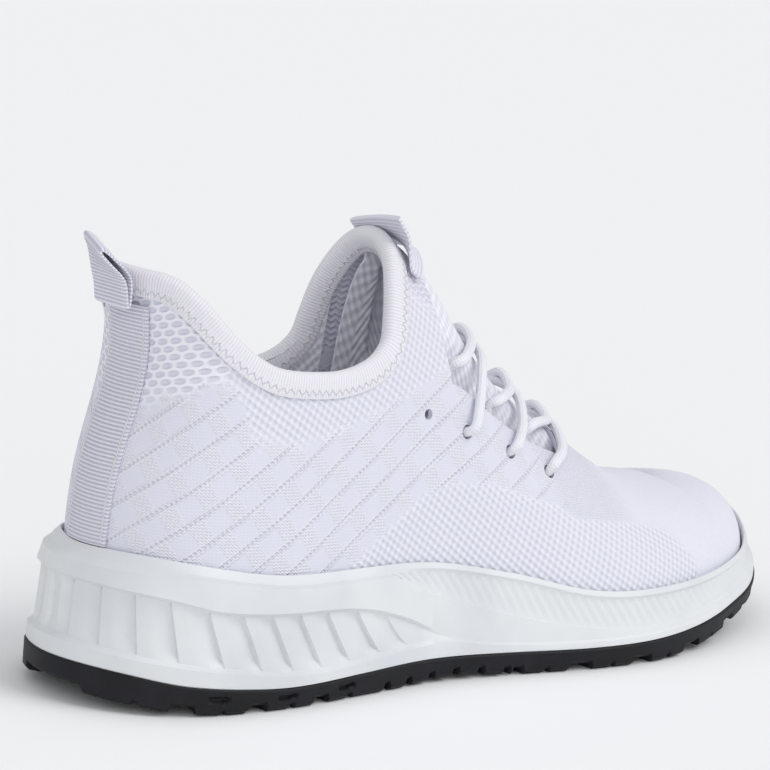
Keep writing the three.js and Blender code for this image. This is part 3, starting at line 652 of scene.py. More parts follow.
@dataclass(frozen=True)
class Finish:
    """What all finishes share: constants of the surface shader."""

    name: str
    roughness: float = 0.8
    sheen: float = 0.0
    specular: float = 0.5
    coat: float = 0.0

    def surface(self, nodes: Nodes) -> dict[str, object]:
        """The shader's varying inputs. Each finish makes its own."""
        raise NotImplementedError

    def material(self) -> bpy.types.Material:
        """The finished material."""
        material = bpy.data.materials.new(self.name)
        material.use_nodes = True
        nodes = Nodes(material.node_tree)
        shader = material.node_tree.nodes["Principled BSDF"]
        shader.inputs["Roughness"].default_value = self.roughness
        shader.inputs["Sheen Weight"].default_value = self.sheen
        shader.inputs["Sheen Roughness"].default_value = 0.5
        shader.inputs["Specular IOR Level"].default_value = self.specular
        shader.inputs["Coat Weight"].default_value = self.coat
        for name, value in self.surface(nodes).items():
            if isinstance(value, Wire):
                material.node_tree.links.new(value.socket, shader.inputs[name])
            else:
                shader.inputs[name].default_value = value
        return material


WHITE = (0.82, 0.825, 0.9)
SHADE = (0.56, 0.57, 0.69)


class Zone(Enum):
    """The knit structures of the upper."""

    GRAIN = "zone_grain"
    LOZENGE = "zone_lozenge"
    SCALE = "zone_scale"
    CHUNKY = "zone_chunky"
    SMOOTH = "zone_smooth"


@dataclass(frozen=True)
class KnitFinish(Finish):
    """The engineered knit: a fine ground, with coarser structures weighted in by zone."""

    light: tuple[float, float, float] = WHITE
    dark: tuple[float, float, float] = SHADE

    @staticmethod
    def grain(u: Wire, v: Wire, along: float, across: float, slope: float) -> Wire:
        """Raised grains in offset rows that climb forward."""
        c, s = math.cos(slope), math.sin(slope)
        a = (u * c + v * s) * (2 * math.pi / along)
        b = (v * c - u * s) * (math.pi / across)
        return (a.sin() * b.sin()) * 0.5 + 0.5

    @staticmethod
    def stitches(u: Wire, v: Wire, wide: float, tall: float) -> Wire:
        """Columns of small slanting stitches."""
        column = ((u / wide).fract() - 0.5).size() * 2
        row = (v / tall + column * 0.5) * (2 * math.pi)
        return (row.sin() * 0.5 + 0.5) * (0.55 + 0.45 * column)

    @staticmethod
    def lozenges(u: Wire, v: Wire, fine: Wire) -> Wire:
        """Smooth patches between dotted lines that climb forward."""
        slope = math.radians(36)
        c, s = math.cos(slope), math.sin(slope)
        across = (v * c - u * s) / 8.2
        along = (u * c + v * s)
        line = (across.fract() - 0.5).size()
        dots = (along * (2 * math.pi / 1.7)).sin() * 0.5 + 0.5
        parity = across.floor() * 0.43
        patch = ((along / 13.0 + parity).fract() - 0.5).size()
        flat = patch.step(0.34, 0.24) * line.step(0.42, 0.34)
        dotted = line.step(0.42, 0.47) * dots
        ridge = line.step(0.3, 0.42) * line.step(0.47, 0.42)
        ground = 0.5 + fine * 0.5
        return ground + (0.34 - ground) * flat * 0.85 + ridge * 0.2 - 0.5 * dotted

    @staticmethod
    def scales(u: Wire, v: Wire) -> Wire:
        """Coarse net: long holes in offset rows, climbing forward a little."""
        climb = v - u * 0.16
        row = climb / 2.45
        column = (u / 5.6 + row.floor() * 0.5).fract() - 0.5
        inside = (row.fract() - 0.5)
        hole = (column * column * 5.6 + inside * inside * 7.0).step(1.3, 0.1)
        return 0.98 - 0.9 * hole

    def surface(self, nodes: Nodes) -> dict[str, object]:
        """Weaves the zones together into a height, and shades the hollows."""
        u, v = nodes.cloth()
        fine = self.stitches(u, v, 1.25, 0.95)
        grain = self.grain(u, v, 2.9, 1.75, math.radians(17))
        chunky = self.stitches(u * 0.8 + v * 0.15, v, 2.7, 2.1)
        height = fine * 0.45 + 0.3
        layers = (
            (Zone.LOZENGE, self.lozenges(u, v, fine)), (Zone.GRAIN, grain * 1.05 + 0.05),
            (Zone.SCALE, self.scales(u, v)), (Zone.CHUNKY, chunky * 1.1),
            (Zone.SMOOTH, fine * 0.16 + 0.52),
        )
        for zone, layer in layers:
            weight = nodes.zone(zone.value)
            height = height + (layer - height) * weight
        blotch = nodes.noise(55.0)
        share = (height * 0.85 + 0.25 + (blotch - 0.5) * 0.1).up_to(1.0)
        return {
            "Base Color": nodes.tint(share, self.dark, self.light),
            "Normal": nodes.bump(height, 0.0008, 0.7),
        }


@dataclass(frozen=True)
class RibbedFinish(Finish):
    """Woven tape with ribs across it and a fine thread grain."""

    light: tuple[float, float, float] = (0.8, 0.79, 0.84)
    dark: tuple[float, float, float] = (0.56, 0.55, 0.63)
    pitch: float = 0.9
    relief: float = 0.00022
    across: bool = False

    def surface(self, nodes: Nodes) -> dict[str, object]:
        """Ribs along or across, with slubs in the yarn, and painted shade in the troughs."""
        u, v = nodes.cloth()
        way, other = (v, u) if self.across else (u, v)
        rib = (way * (2 * math.pi / self.pitch) + math.pi / 2).sin() * 0.5 + 0.5
        thread = (other * (2 * math.pi / 0.55)).sin() * 0.5 + 0.5
        slub = nodes.noise(900.0)
        height = rib * 0.75 + thread * rib * 0.15 + slub * 0.2
        # Painted shade: the colour follows the height, dark in the troughs between ribs and threads
        # and light on their tops.
        return {
            "Base Color": nodes.tint((height * 0.95 + 0.12).up_to(1.0), self.dark, self.light),
            "Normal": nodes.bump(height, self.relief),
        }


@dataclass(frozen=True)
class MeshFinish(Finish):
    """A coarse knit of raised grains, such as linings have."""

    light: tuple[float, float, float] = (0.9, 0.9, 0.96)
    dark: tuple[float, float, float] = (0.66, 0.66, 0.76)
    along: float = 3.2
    across: float = 1.9
    slope: float = 0.0

    def surface(self, nodes: Nodes) -> dict[str, object]:
        """Grains in offset rows, with painted shade between them."""
        u, v = nodes.cloth()
        height = KnitFinish.grain(u, v, self.along, self.across, self.slope)
        # Painted shade: the colour follows the height, so the hollows between the grains are
        # painted darker.
        return {
            "Base Color": nodes.tint((height * 0.9 + 0.2).up_to(1.0), self.dark, self.light),
            "Normal": nodes.bump(height, 0.0007, 0.8),
        }


@dataclass(frozen=True)
class CordFinish(Finish):
    """Tubular weave: two sets of yarns that spiral round the lace."""

    light: tuple[float, float, float] = (0.83, 0.84, 0.89)
    dark: tuple[float, float, float] = (0.62, 0.63, 0.7)

    def surface(self, nodes: Nodes) -> dict[str, object]:
        """A small diamond weave, with painted shade where the yarns dip."""
        u, turn = nodes.cloth()
        a = u * (math.pi / 0.75)
        b = turn * (math.pi * 0.9)
        weave = ((a + b).sin() * (a - b).sin()) * 0.5 + 0.5
        # Painted shade: the colour follows the weave's height, darker where the yarns dip.
        return {
            "Base Color": nodes.tint(weave * 0.75 + 0.25, self.dark, self.light),
            "Normal": nodes.bump(weave, 0.00016),
        }


@dataclass(frozen=True)
class FoamFinish(Finish):
    """Moulded foam with a satin skin, a faint orange peel, and scuffs in a cooler grey."""

    light: tuple[float, float, float] = (0.74, 0.76, 0.775)
    dark: tuple[float, float, float] = (0.66, 0.68, 0.71)

    def surface(self, nodes: Nodes) -> dict[str, object]:
        """Broad tone changes, with a fine peel."""
        tone = nodes.noise(28.0, 3.0)
        peel = nodes.noise(1500.0, 2.0)
        return {
            "Base Color": nodes.tint(tone.step(0.3, 0.65), self.dark, self.light),
            "Roughness": 0.36 + tone * 0.16,
            "Normal": nodes.bump(peel, 0.00005, 0.6),
        }


@dataclass(frozen=True)
class RubberFinish(Finish):
    """Black moulded rubber, a little navy, with a fine grain and dusty edges."""

    light: tuple[float, float, float] = (0.009, 0.009, 0.014)
    dark: tuple[float, float, float] = (0.004, 0.004, 0.006)

    def surface(self, nodes: Nodes) -> dict[str, object]:
        """Grain, and wear that dulls the tread."""
        grain = nodes.noise(2200.0, 2.0)
        wear = nodes.noise(90.0, 4.0)
        return {
            "Base Color": nodes.tint(wear.step(0.35, 0.7), self.dark, self.light),
            "Roughness": 0.42 + wear * 0.3,
            "Normal": nodes.bump(grain, 0.00006, 0.7),
        }


@dataclass(frozen=True)
class PlainFinish(Finish):
    """Board, foam, tape or plastic that lies inside the shoe, with its fibre or grain."""

    light: tuple[float, float, float] = (0.75, 0.74, 0.7)
    dark: tuple[float, float, float] = (0.55, 0.54, 0.5)
    grain: float = 700.0

    def surface(self, nodes: Nodes) -> dict[str, object]:
        """Fibres in a speckle."""
        fibre = nodes.noise(self.grain, 4.0)
        return {
            "Base Color": nodes.tint(fibre.step(0.3, 0.7), self.dark, self.light),
            "Normal": nodes.bump(fibre, 0.00012),
        }


# ---------------------------------------------------------------- the collar's line


@dataclass
class CollarLine:
    """The edge of the foot opening: a side-view curve, sheared towards the inner side."""

    form: FootForm
    half_width: float = 27.0
    reach: float = 80.0
    inner_forward: float = 0.1
    inner_drop: float = 0.14
    ankle: float = 98.0
    curve: list[Vector] = field(init=False)

    def __post_init__(self) -> None:
        """Sets out the side-view curve."""
        heel, tongue = self.form.heel_collar, self.form.tongue
        corners = (
            (-0.05, heel), (0.06, heel), (0.093, heel - 4), (0.131, heel - 16.5),
            (0.164, self.ankle + 6), (0.2, self.ankle + 1.8), (0.265, self.ankle),
            (0.31, self.ankle + 2.4), (0.336, self.ankle + 8), (0.344, self.ankle + 16),
            (0.352, tongue - 12), (0.367, tongue), (0.387, tongue + 14),
        )
        self.curve = catmull([Vector((x * SOLE_LENGTH, 0, z)) for x, z in corners], 8)

    def sheared(self, point: Vector, y: float) -> Vector:
        """A point of the curve, moved to a place across the shoe."""
        share = smoothstep(point.x, 0.12 * SOLE_LENGTH, 0.28 * SOLE_LENGTH)
        inward = (y + self.half_width) * share
        x, z = point.x + self.inner_forward * inward, point.z - self.inner_drop * inward
        return Vector((x, y, z))

    def cutter(self, raised: float = 0.0) -> bpy.types.Object:
        """A solid that fills everything above the edge.

        Args:
            raised: how far the edge is lifted, square to the curve.

        Returns:
            The solid.
        """
        count = len(self.curve) - 1
        edge = []
        for i, point in enumerate(self.curve):
            way = (self.curve[min(i + 1, count)] - self.curve[max(i - 1, 0)]).normalized()
            edge.append(point + Vector((-way.z, 0, way.x)) * raised)
        rows = 12
        sheet = shaped_grid(
            "collar_cutter", count, rows,
            lambda i, j: self.sheared(edge[i], lerp(-self.reach, self.reach, j / rows)),
        )
        make_active(sheet)
        bpy.ops.object.mode_set(mode="EDIT")
        bpy.ops.mesh.select_all(action="SELECT")
        lean = Vector((-0.35, 0, 1)) * 0.11
        bpy.ops.mesh.extrude_region_move(TRANSFORM_OT_translate={"value": lean})
        bpy.ops.mesh.select_all(action="SELECT")
        bpy.ops.mesh.normals_make_consistent(inside=False)
        bpy.ops.object.mode_set(mode="OBJECT")
        return sheet

    def height_at(self, x: float) -> float:
        """Height of the curve behind the ankle's lowest point."""
        for a, b in zip(self.curve, self.curve[1:]):
            if a.x <= x <= b.x:
                return lerp(a.z, b.z, (x - a.x) / max(b.x - a.x, 1e-9))
        return self.curve[0].z

    def forward_at(self, z: float) -> Vector:
        """The point of the curve's upright front at a height."""
        front = [p for p in self.curve if p.x > 0.31 * SOLE_LENGTH]
        for a, b in zip(front, front[1:]):
            if a.z <= z <= b.z:
                return a.lerp(b, (z - a.z) / max(b.z - a.z, 1e-9))
        return front[-1]

    def loop(self, skin: "Skin", count: int) -> list[Vector]:
        """The closed edge on the form, in even steps from the heel by the outer side."""
        halves = []
        root = self.form.heel_fan * SOLE_LENGTH
        for side in (-1, 1):
            points = []
            for k in range(9):
                angle = math.pi + side * -math.pi / 2 * k / 9
                hit = Vector((root - 30, 0, 128))
                for _ in range(5):
                    z = self.sheared(Vector((hit.x, 0, self.height_at(hit.x))), hit.y).z
                    start = Vector((root, self.form.spine(root), z))
                    way = Vector((math.cos(angle), math.sin(angle), 0))
                    hit = skin.from_inside(start, way) or hit
                points.append(hit)
            for point in self.curve:
                if point.x < root or point.z > 121 and point.x > 0.3 * SOLE_LENGTH:
                    continue
                y = side * 28.0
                for _ in range(6):
                    spot = self.sheared(point, y)
                    spot.y = self.form.spine(spot.x)
                    hit = skin.from_inside(spot, Vector((0, side, 0)))
                    y = hit.y if hit else y
                if hit:
                    points.append(hit)
            last = points[-1]
            middle = Vector((last.x, self.form.spine(last.x), last.z - 4))
            start_angle = math.atan2(abs(last.y - middle.y), last.z - middle.z)
            for k in range(1, 9):
                angle = start_angle * (1 - k / 8)
                for _ in range(6):
                    height = last.z + self.inner_drop * (last.y + self.half_width)
                    spot = self.sheared(self.forward_at(height), last.y)
                    way = Vector((0, side * math.sin(angle), math.cos(angle)))
                    hit = skin.from_inside(Vector((spot.x, middle.y, middle.z)), way)
                    last = hit or last
                points.append(last)
            halves.append(points)
        outer, inner = halves
        whole = [*outer, *reversed(inner[1:-1])]
        whole.append(whole[0])
        return evenly(catmull(evenly(whole, count // 3)[:-1], 6, closed=True), count)[:-1]


@dataclass
class Skin:
    """The outside of the knit as a surface to seek points on, in millimetres."""

    tree: BVHTree

    @classmethod
    def of(cls, form: FootForm) -> "Skin":
        """The skin of the form."""
        ring = form.ring(12, 60, 30)
        rows = 40
        corners = [form.point(s, j / rows, 0) for s in ring for j in range(rows + 1)]
        faces = []
        for i in range(len(ring) - 1):
            a, b = i * (rows + 1), (i + 1) * (rows + 1)
            faces += [(a + j, b + j, b + j + 1, a + j + 1) for j in range(rows)]
        return cls(BVHTree.FromPolygons(corners, faces))

    def from_inside(self, start: Vector, way: Vector) -> Vector | None:
        """Where a ray from inside the foot comes out."""
        return self.tree.ray_cast(start, way)[0]

    def nearest(self, point: Vector) -> tuple[Vector, Vector]:
        """The nearest point of the skin and the outward normal there."""
        spot, normal, _, _ = self.tree.find_nearest(point)
        return spot, normal


# ---------------------------------------------------------------- knitted pieces


@dataclass
class Throat:
    """The lacing slot and its eyelets, on both sides of the instep."""

    form: FootForm
    stations: tuple[float, ...] = (0.583, 0.522, 0.454, 0.397)
    heights: tuple[float, ...] = (0.455, 0.415, 0.345, 0.33)
    start: float = 0.645
    end: float = 0.41
    low: float = 0.6
    high: float = 0.415
    hole: float = 2.3
    spare_hole: float = 1.7
    slot_floor: float = 39.0
    slot_ceiling: float = 170.0
    eyelet_cut: float = 12.0

    def edge(self, x: float) -> float:
        """Share of the way up the section of the slot's edge at a station."""
        station = x / SOLE_LENGTH
        share = clamp((self.start - station) / (self.start - self.end))
        closing = 1 - smoothstep(station, self.end, self.end + 0.024)
        return lerp(self.low, self.high, share) + 0.4 * closing

    def cutters(self) -> tuple[bpy.types.Object, bpy.types.Object]:
        """The slot as a solid, and the eyelets as another."""
        steps = 24

        def place(i: int, j: int) -> Vector:
            share = (i / steps) ** 1.3
            x = lerp(self.start, self.end, share) * SOLE_LENGTH
            side = -1 if j in (0, 1, 4) else 1
            spine = self.form.spine(x)
            rim = self.form.on(x, side, self.edge(x), 0)
            y = lerp(spine, rim.y, math.sqrt(min(1.0, i / 5)))
            return Vector((x, y, self.slot_floor if j in (0, 3, 4) else self.slot_ceiling))

        slot = shaped_grid("slot_cutter", steps, 4, place)
        clean(slot)
        fill_ends(slot)
        cutters = []
        for k, (station, height) in enumerate(zip(self.stations, self.heights)):
            for side in (-1, 1):
                spot = self.form.on(station * SOLE_LENGTH, side, height, 0)
                inner = self.form.on(station * SOLE_LENGTH, side, height, 4)
                turn = (spot - inner).to_track_quat("Z", "Y").to_euler()
                bpy.ops.mesh.primitive_cylinder_add(
                    vertices=20, depth=self.eyelet_cut * MM, location=metres(spot), rotation=turn,
                    radius=(self.spare_hole if k == len(self.stations) - 1 else self.hole) * MM,
                )
                cutters.append(bpy.context.active_object)
        return slot, joined("eyelet_cutter", cutters)


def measured(columns: Sequence[Sequence[Vector]]) -> tuple[list[float], list[list[float]]]:
    """Lengths of cloth along the first row and up each column, in millimetres."""
    along = [0.0]
    for a, b in zip(columns, columns[1:]):
        along.append(along[-1] + (b[0] - a[0]).length)
    up = []
    for column in columns:
        run = [0.0]
        for a, b in zip(column, column[1:]):
            run.append(run[-1] + (b - a).length)
        up.append(run)
    return along, up


@dataclass
class KnitUpper:
    """The one-piece knit, from the turned-in floor edge to the collar, with its knit zones."""

    form: FootForm
    collar: CollarLine
    throat: Throat
    rows: int = 56
    thickness: float = 2.0
    collar_band: tuple[Pair, ...] = (
        (36, 99), (41, 93.3), (46, 79), (55.4, 77.5), (70.8, 78.8), (87.4, 82.9),
        (104.4, 87.6), (118, 92.5), (124, 95), (160, 110),
    )
    grain_top: tuple[Pair, ...] = (
        (84, 38), (94, 44.5), (103.9, 51.2), (115.5, 59.2), (127.6, 62), (144.4, 60.8),
        (157.5, 56), (170.7, 52.4), (177.3, 47.7), (189.6, 45.6), (206.5, 43.6), (222.4, 39.6),
        (232, 30),
    )

    @staticmethod
    def line(points: Sequence[Pair], x: float) -> float:
        """Height of a broken line, far below it beyond its ends."""
        for (x0, z0), (x1, z1) in zip(points, points[1:]):
            if x0 <= x <= x1:
                return lerp(z0, z1, (x - x0) / (x1 - x0))
        return 1e4

    def weights(self, x: float, y: float, z: float) -> dict[Zone, float]:
        """How much of each knit structure lies at a place, in the order they cover one another."""
        crown = abs(y - self.form.spine(x))
        band = self.line(self.collar_band, x)
        top = self.line(self.grain_top, x)
        out = {Zone.LOZENGE: smoothstep(-x, -182, -160)}
        low = smoothstep(top - z, 0.0, 2.4) if top < 1e3 else 0.0
        high = smoothstep(z - band, 0.0, 2.4) if band < 1e3 else 0.0
        out[Zone.GRAIN] = max(low, high)
        heel_high = smoothstep(z, 87 + max(0.0, x - 18) * 0.6, 90 + max(0.0, x - 18) * 0.6)
        out[Zone.SCALE] = heel_high * smoothstep(-x, -46, -40)
        front = smoothstep(x, 98, 101) * smoothstep(z, 92, 97) * smoothstep(-crown, -24, -19)
        out[Zone.CHUNKY] = front
        toe = smoothstep(x, 196, 214) * (1 - low)
        out[Zone.SMOOTH] = toe
        return out

    def paint(self, piece: bpy.types.Object) -> None:
        """Writes the zones' weights on the piece's vertices."""
        mesh = piece.data
        spots = [vertex.co / MM + FRAME_SHIFT for vertex in mesh.vertices]
        painted = [self.weights(*spot) for spot in spots]
        for zone in Zone:
            layer = mesh.attributes.new(zone.value, "FLOAT", "POINT")
            layer.data.foreach_set("value", [weights[zone] for weights in painted])

    def build(self, finish: Finish) -> bpy.types.Object:
        """Makes the knit and dresses it."""
        ring = self.form.ring(26, 116, 64)
        rows = self.rows
        columns = [[self.form.point(s, j / rows, 0) for j in range(rows + 1)] for s in ring]
        along, up = measured(columns)
        half = along[-1] / 2

        def unwrap(i: int, j: int) -> Pair:
            return min(along[i], 2 * half - along[i]) / 10, up[i][j] / 10

        piece = shaped_grid("knit_shell", len(ring) - 1, rows, lambda i, j: columns[i][j], unwrap)
        clean(piece, recalculate=False)
        apply_modifier(piece, "SOLIDIFY", thickness=self.thickness * MM, offset=-1)
        cut(piece, self.collar.cutter())
        for cutter in self.throat.cutters():
            cut(piece, cutter)
        smooth(piece, 50)
        self.paint(piece)
        return settle(piece, finish.material(), "knit_fabric", "knit_upper")


@dataclass
class Lining:
    """The lining of the heel and collar, one shell that dips in behind the padded collar."""

    form: FootForm
    collar: CollarLine
    skin: Skin
    name: str = "collar_lining_shell"
    slot: str = "lining_fabric"
    stands_for: str = "collar_lining"
    thickness: float = 1.0
    sink: float = 0.0
    trim: float = -1.0
    low: float = 0.12
    front: float = 0.39
    low_depth: float = 3.8
    collar_depth: float = 8.0
    edge_depth: float = 3.2
    tongue_depth: float = 4.2
    rows: int = 44

    def build(self, finish: Finish) -> bpy.types.Object:
        """Makes the shell and dresses it."""
        ring = self.form.ring(22, 58, 8)
        limit = self.front * SOLE_LENGTH
        turn = len(ring) // 2
        outer = [s for s in ring[:turn] if s.x <= limit]
        inner = [s for s in ring[turn:-1] if s.x <= limit]
        spokes = [*inner, *outer]
        rows = self.rows
        loop = self.collar.loop(self.skin, 300)
        edge = KDTree(len(loop))
        for k, point in enumerate(loop):
            edge.insert(point, k)
        edge.balance()

        def place(i: int, j: int) -> Vector:
            low = self.low if self.low < 1 else self.form.at_height(spokes[i], self.low)
            t = lerp(low, 1, j / rows)
            z = self.form.section(spokes[i], t)[1]
            depth = lerp(self.low_depth, self.collar_depth, smoothstep(z, 66, 86))
            away = edge.find(self.form.point(spokes[i], t, 0))[2]
            depth = min(depth, lerp(self.edge_depth, self.collar_depth, smoothstep(away, 0, 20)))
            ahead = smoothstep(self.form.point(spokes[i], t, 0).x, 84, 100)
            depth = min(depth, lerp(self.collar_depth, self.tongue_depth, ahead))
            return self.form.point(spokes[i], t, depth + self.sink)

        columns = [[place(i, j) for j in range(rows + 1)] for i in range(len(spokes))]
        along, up = measured(columns)
        piece = shaped_grid(
            self.name, len(spokes) - 1, rows, lambda i, j: columns[i][j],
            lambda i, j: (along[i] / 10, up[i][j] / 10),
        )
        clean(piece, recalculate=False)
        apply_modifier(piece, "SOLIDIFY", thickness=self.thickness * MM, offset=-1)
        cut(piece, self.collar.cutter(self.trim))
        smooth(piece, 50)
        return settle(piece, finish.material(), self.slot, self.stands_for)


@dataclass
class Gusset:
    """The knitted gusset under the laces, bowed up between the edges of the slot."""

    form: FootForm
    throat: Throat
    front: float = 0.71
    back: float = 0.392
    middle_depth: float = 2.7
    edge_depth: float = 8.0

    def build(self, finish: Finish) -> bpy.types.Object:
        """Makes the sheet and dresses it."""
        columns, rows = 90, 48
        low = 0.3

        def place(i: int, j: int) -> Vector:
            x = lerp(self.front, self.back, i / columns) * SOLE_LENGTH
            turn = 2 * j / rows - 1
            side = -1 if turn < 0 else 1
            t = lerp(1, low, abs(turn))
            rise = smoothstep(t - self.throat.edge(x), 0.0, 0.17)
            depth = lerp(self.edge_depth, self.middle_depth, rise)
            ahead = smoothstep(x / SOLE_LENGTH, 0.605, 0.695)
            return self.form.on(x, side, t, lerp(depth, 2.4, ahead))

        strips = [[place(i, j) for j in range(rows + 1)] for i in range(columns + 1)]
        along, up = measured(strips)
        piece = shaped_grid(
            "throat_gusset", columns, rows, lambda i, j: strips[i][j],
            lambda i, j: (along[i] / 10, up[i][j] / 10),
        )
        clean(piece, recalculate=False)
        apply_modifier(piece, "SOLIDIFY", thickness=1.0 * MM, offset=-1)
        smooth(piece, 50)
        return settle(piece, finish.material(), "lining_fabric", "throat_underlay")


@dataclass
class Insole:
    """The removable insole, with its edge turned up at the heel."""

    form: FootForm
    margin: float = 6.2
    thickness: float = 4.0
    lift: float = 2.3
    dish: float = 2.2

    def build(self, finish: Finish) -> bpy.types.Object:
        """Makes the insole and dresses it."""
        ring = self.form.ring(16, 50, 26)
        shares = (0.0, 0.3, 0.55, 0.75, 0.9, 0.975, 1.0)
        stack = [*((s, True) for s in shares), *((s, False) for s in reversed(shares))]

        def place(i: int, j: int) -> Vector:
            spoke, (share, top) = ring[i], stack[j]
            reach = (spoke.reach - self.margin) * share
            x, y = spoke.x + spoke.out_x * reach, spoke.y + spoke.out_y * reach
            heel = 1 - smoothstep(x, 90, 170)
            z = self.form.floor(x) + self.lift
            z += self.dish * heel * max(0.0, share - 0.55) ** 2 / 0.2
            if top:
                z += self.thickness - (0.9 if share == 1 else 0)
            return Vector((x, y, z))

        piece = shaped_grid(
            "insole_cushion", len(ring) - 1, len(stack) - 1, place,
            lambda i, j: (place(i, j).x / 10, place(i, j).y / 10),
        )
        clean(piece)
        smooth(piece, 50)
        settle(piece, finish.material(), "insole_fabric", "insole")
        return piece


# ---------------------------------------------------------------- tapes


@dataclass
class CollarBinding:
    """The tape folded over the collar's edge, with its row of zigzag stitches."""

    collar: CollarLine
    skin: Skin
    depth: float = 7.0
    steps: int = 420

    def frames(self) -> list[tuple[Vector, Vector, Vector]]:
        """Edge points with the outward way and the way up off the edge."""
        edge = self.collar.loop(self.skin, self.steps)
        count = len(edge)
        out = []
        for i, point in enumerate(edge):
            way = (edge[(i + 2) % count] - edge[i - 2]).normalized()
            _, normal = self.skin.nearest(point)
            normal = (normal - way * normal.dot(way)).normalized()
            up = normal.cross(way).normalized()
            out.append([point, normal, up])
        for _ in range(3):
            normals = [
                (out[i - 1][1] + out[i][1] * 2 + out[(i + 1) % count][1]).normalized()
                for i in range(count)
            ]
            ups = [
                (out[i - 1][2] + out[i][2] * 2 + out[(i + 1) % count][2]).normalized()
                for i in range(count)
            ]
            for i in range(count):
                out[i][1], out[i][2] = normals[i], ups[i]
        return [tuple(frame) for frame in out]

    def build(self, finish: Finish, thread: Finish) -> list[bpy.types.Object]:
        """Makes the tape and its stitching and dresses them."""
        frames = self.frames()
        count = len(frames)
        deep = self.depth
        profile = (
            (0.15, -deep), (0.7, -deep), (0.95, -deep + 0.5), (0.9, -deep * 0.62), (1.0, -2.4),
            (0.95, -0.9), (0.55, 0.1), (-0.4, 0.8), (-1.5, 1.0), (-2.7, 0.75), (-3.6, 0.1),
            (-4.3, -0.9), (-4.9, -2.2), (-5.3, -4.0), (-5.7, -5.4), (-5.4, -5.9), (-4.9, -5.7),
            (-4.4, -4.0), (-4.0, -2.2), (-3.1, -0.7), (-1.4, -0.1), (-0.3, -0.6), (0.15, -1.6),
        )
        size = len(profile)
        lengths = [0.0]
        for k in range(count):
            lengths.append(lengths[-1] + (frames[(k + 1) % count][0] - frames[k][0]).length)
        rounds = [0.0]
        for (a, b), (c, d) in zip(profile, (*profile[1:], profile[0])):
            rounds.append(rounds[-1] + math.hypot(c - a, d - b))

        def place(i: int, j: int) -> Vector:
            point, normal, up = frames[i % count]
            out, high = profile[j % size]
            return point + normal * out + up * high

        tape = shaped_grid(
            "collar_tape", count, size, place, lambda i, j: (lengths[i] / 10, rounds[j] / 10)
        )
        clean(tape)
        smooth(tape, 55)
        settle(tape, finish.material(), "binding_tape", "collar_binding")
        seams = []
        for out, low, high in ((0.92, -6.0, -4.3), (-5.3, -4.4, -3.0)):
            zigzag, ups = [], []
            stitches = 2 * round(lengths[-1] / 2.6)
            for k in range(stitches):
                share = k / stitches * count
                i = int(share)
                point, normal, up = frames[i]
                after = frames[(i + 1) % count][0]
                rise = high if k % 2 else low
                zigzag.append(point.lerp(after, share - i) + normal * out + up * rise)
                ups.append(normal)
            seams.append(tube("collar_seam", zigzag, ups, 0.5, 0.4, 6, closed=True))
        stitching = joined("collar_stitching", seams)
        settle(stitching, thread.material(), "binding_tape")
        return [tape, stitching]


@dataclass
class HeelStrip:
    """The grosgrain strip up the heel, its ribs in the shape itself, sewn down along both edges."""

    skin: Skin
    width: float = 18.0
    low: float = 46.6
    high: float = 118.0
    rib: float = 1.15
    rib_rows: int = 5
    rib_relief: float = 0.17
    edge_drop: float = 0.5
    face_spread: float = 0.016
    back_sunk: float = 0.1
    steps: int = 60
    face: float = 1.35

    def build(self, finish: Finish, thread: Finish) -> list[bpy.types.Object]:
        """Makes the strip and its two rows of stitching and dresses them."""
        rows = round((self.high - self.low) / self.rib) * self.rib_rows
        half = self.width / 2
        outer = [
            -half, -half * 0.985,
            *(lerp(-half * 0.95, half * 0.95, k / 16) for k in range(17)),
            half * 0.985, half,
        ]
        inner = [half * 0.97, half * 0.5, 0.0, -half * 0.5, -half * 0.97]
        columns = [(y, True) for y in outer] + [(y, False) for y in inner] + [(-half, True)]
        heights = [lerp(self.low, self.high, k / self.steps) for k in range(self.steps + 1)]
        backs = {}
        for y in {y for y, _ in columns}:
            backs[y] = []
            for z in heights:
                hit = self.skin.tree.ray_cast(Vector((-60, y, z)), Vector((1, 0, 0)))[0]
                backs[y].append(hit.x if hit else 12.0)

        def place(i: int, j: int) -> Vector:
            y, is_face = columns[i]
            share = j / rows * self.steps
            k = min(int(share), self.steps - 1)
            x = lerp(backs[y][k], backs[y][k + 1], share - k)
            border = 1 - smoothstep(abs(y), half - 2.4, half - 1.7)
            wave = self.rib_relief * math.cos(2 * math.pi * j / self.rib_rows) * border
            drop = self.edge_drop if abs(y) >= half else 0.0
            z = lerp(self.low, self.high, j / rows)
            if is_face:
                return Vector((x - (self.face - drop + wave), y * (1 + self.face_spread), z))
            return Vector((x - self.back_sunk, y, z))

        strip = shaped_grid(
            "heel_webbing", len(columns) - 1, rows, place,
            lambda i, j: (columns[i][0] / 10, j / rows * (self.high - self.low) / 10),
        )
        clean(strip)
        smooth(strip, 70)
        settle(strip, finish.material(), "webbing", "heel_strip")
        seams = []
        for side in (-1, 1):
            path = []
            y = side * (half - 1.2)
            for k in range(240):
                z = lerp(self.low + 1, self.high - 1, k / 239)
                hit = self.skin.tree.ray_cast(Vector((-60, y, z)), Vector((1, 0, 0)))[0]
                sink = 0.28 * (0.5 + 0.5 * math.cos(k * math.pi / 2))
                path.append(Vector((hit.x - self.face - 0.12 + sink, y, z)))
            seams.append(tube("seam", path, [Vector((-1, 0, 0))] * len(path), 0.55, 0.5, 6))
        stitching = joined("heel_stitching", seams)
        settle(stitching, thread.material(), "webbing")
        return [strip, stitching]


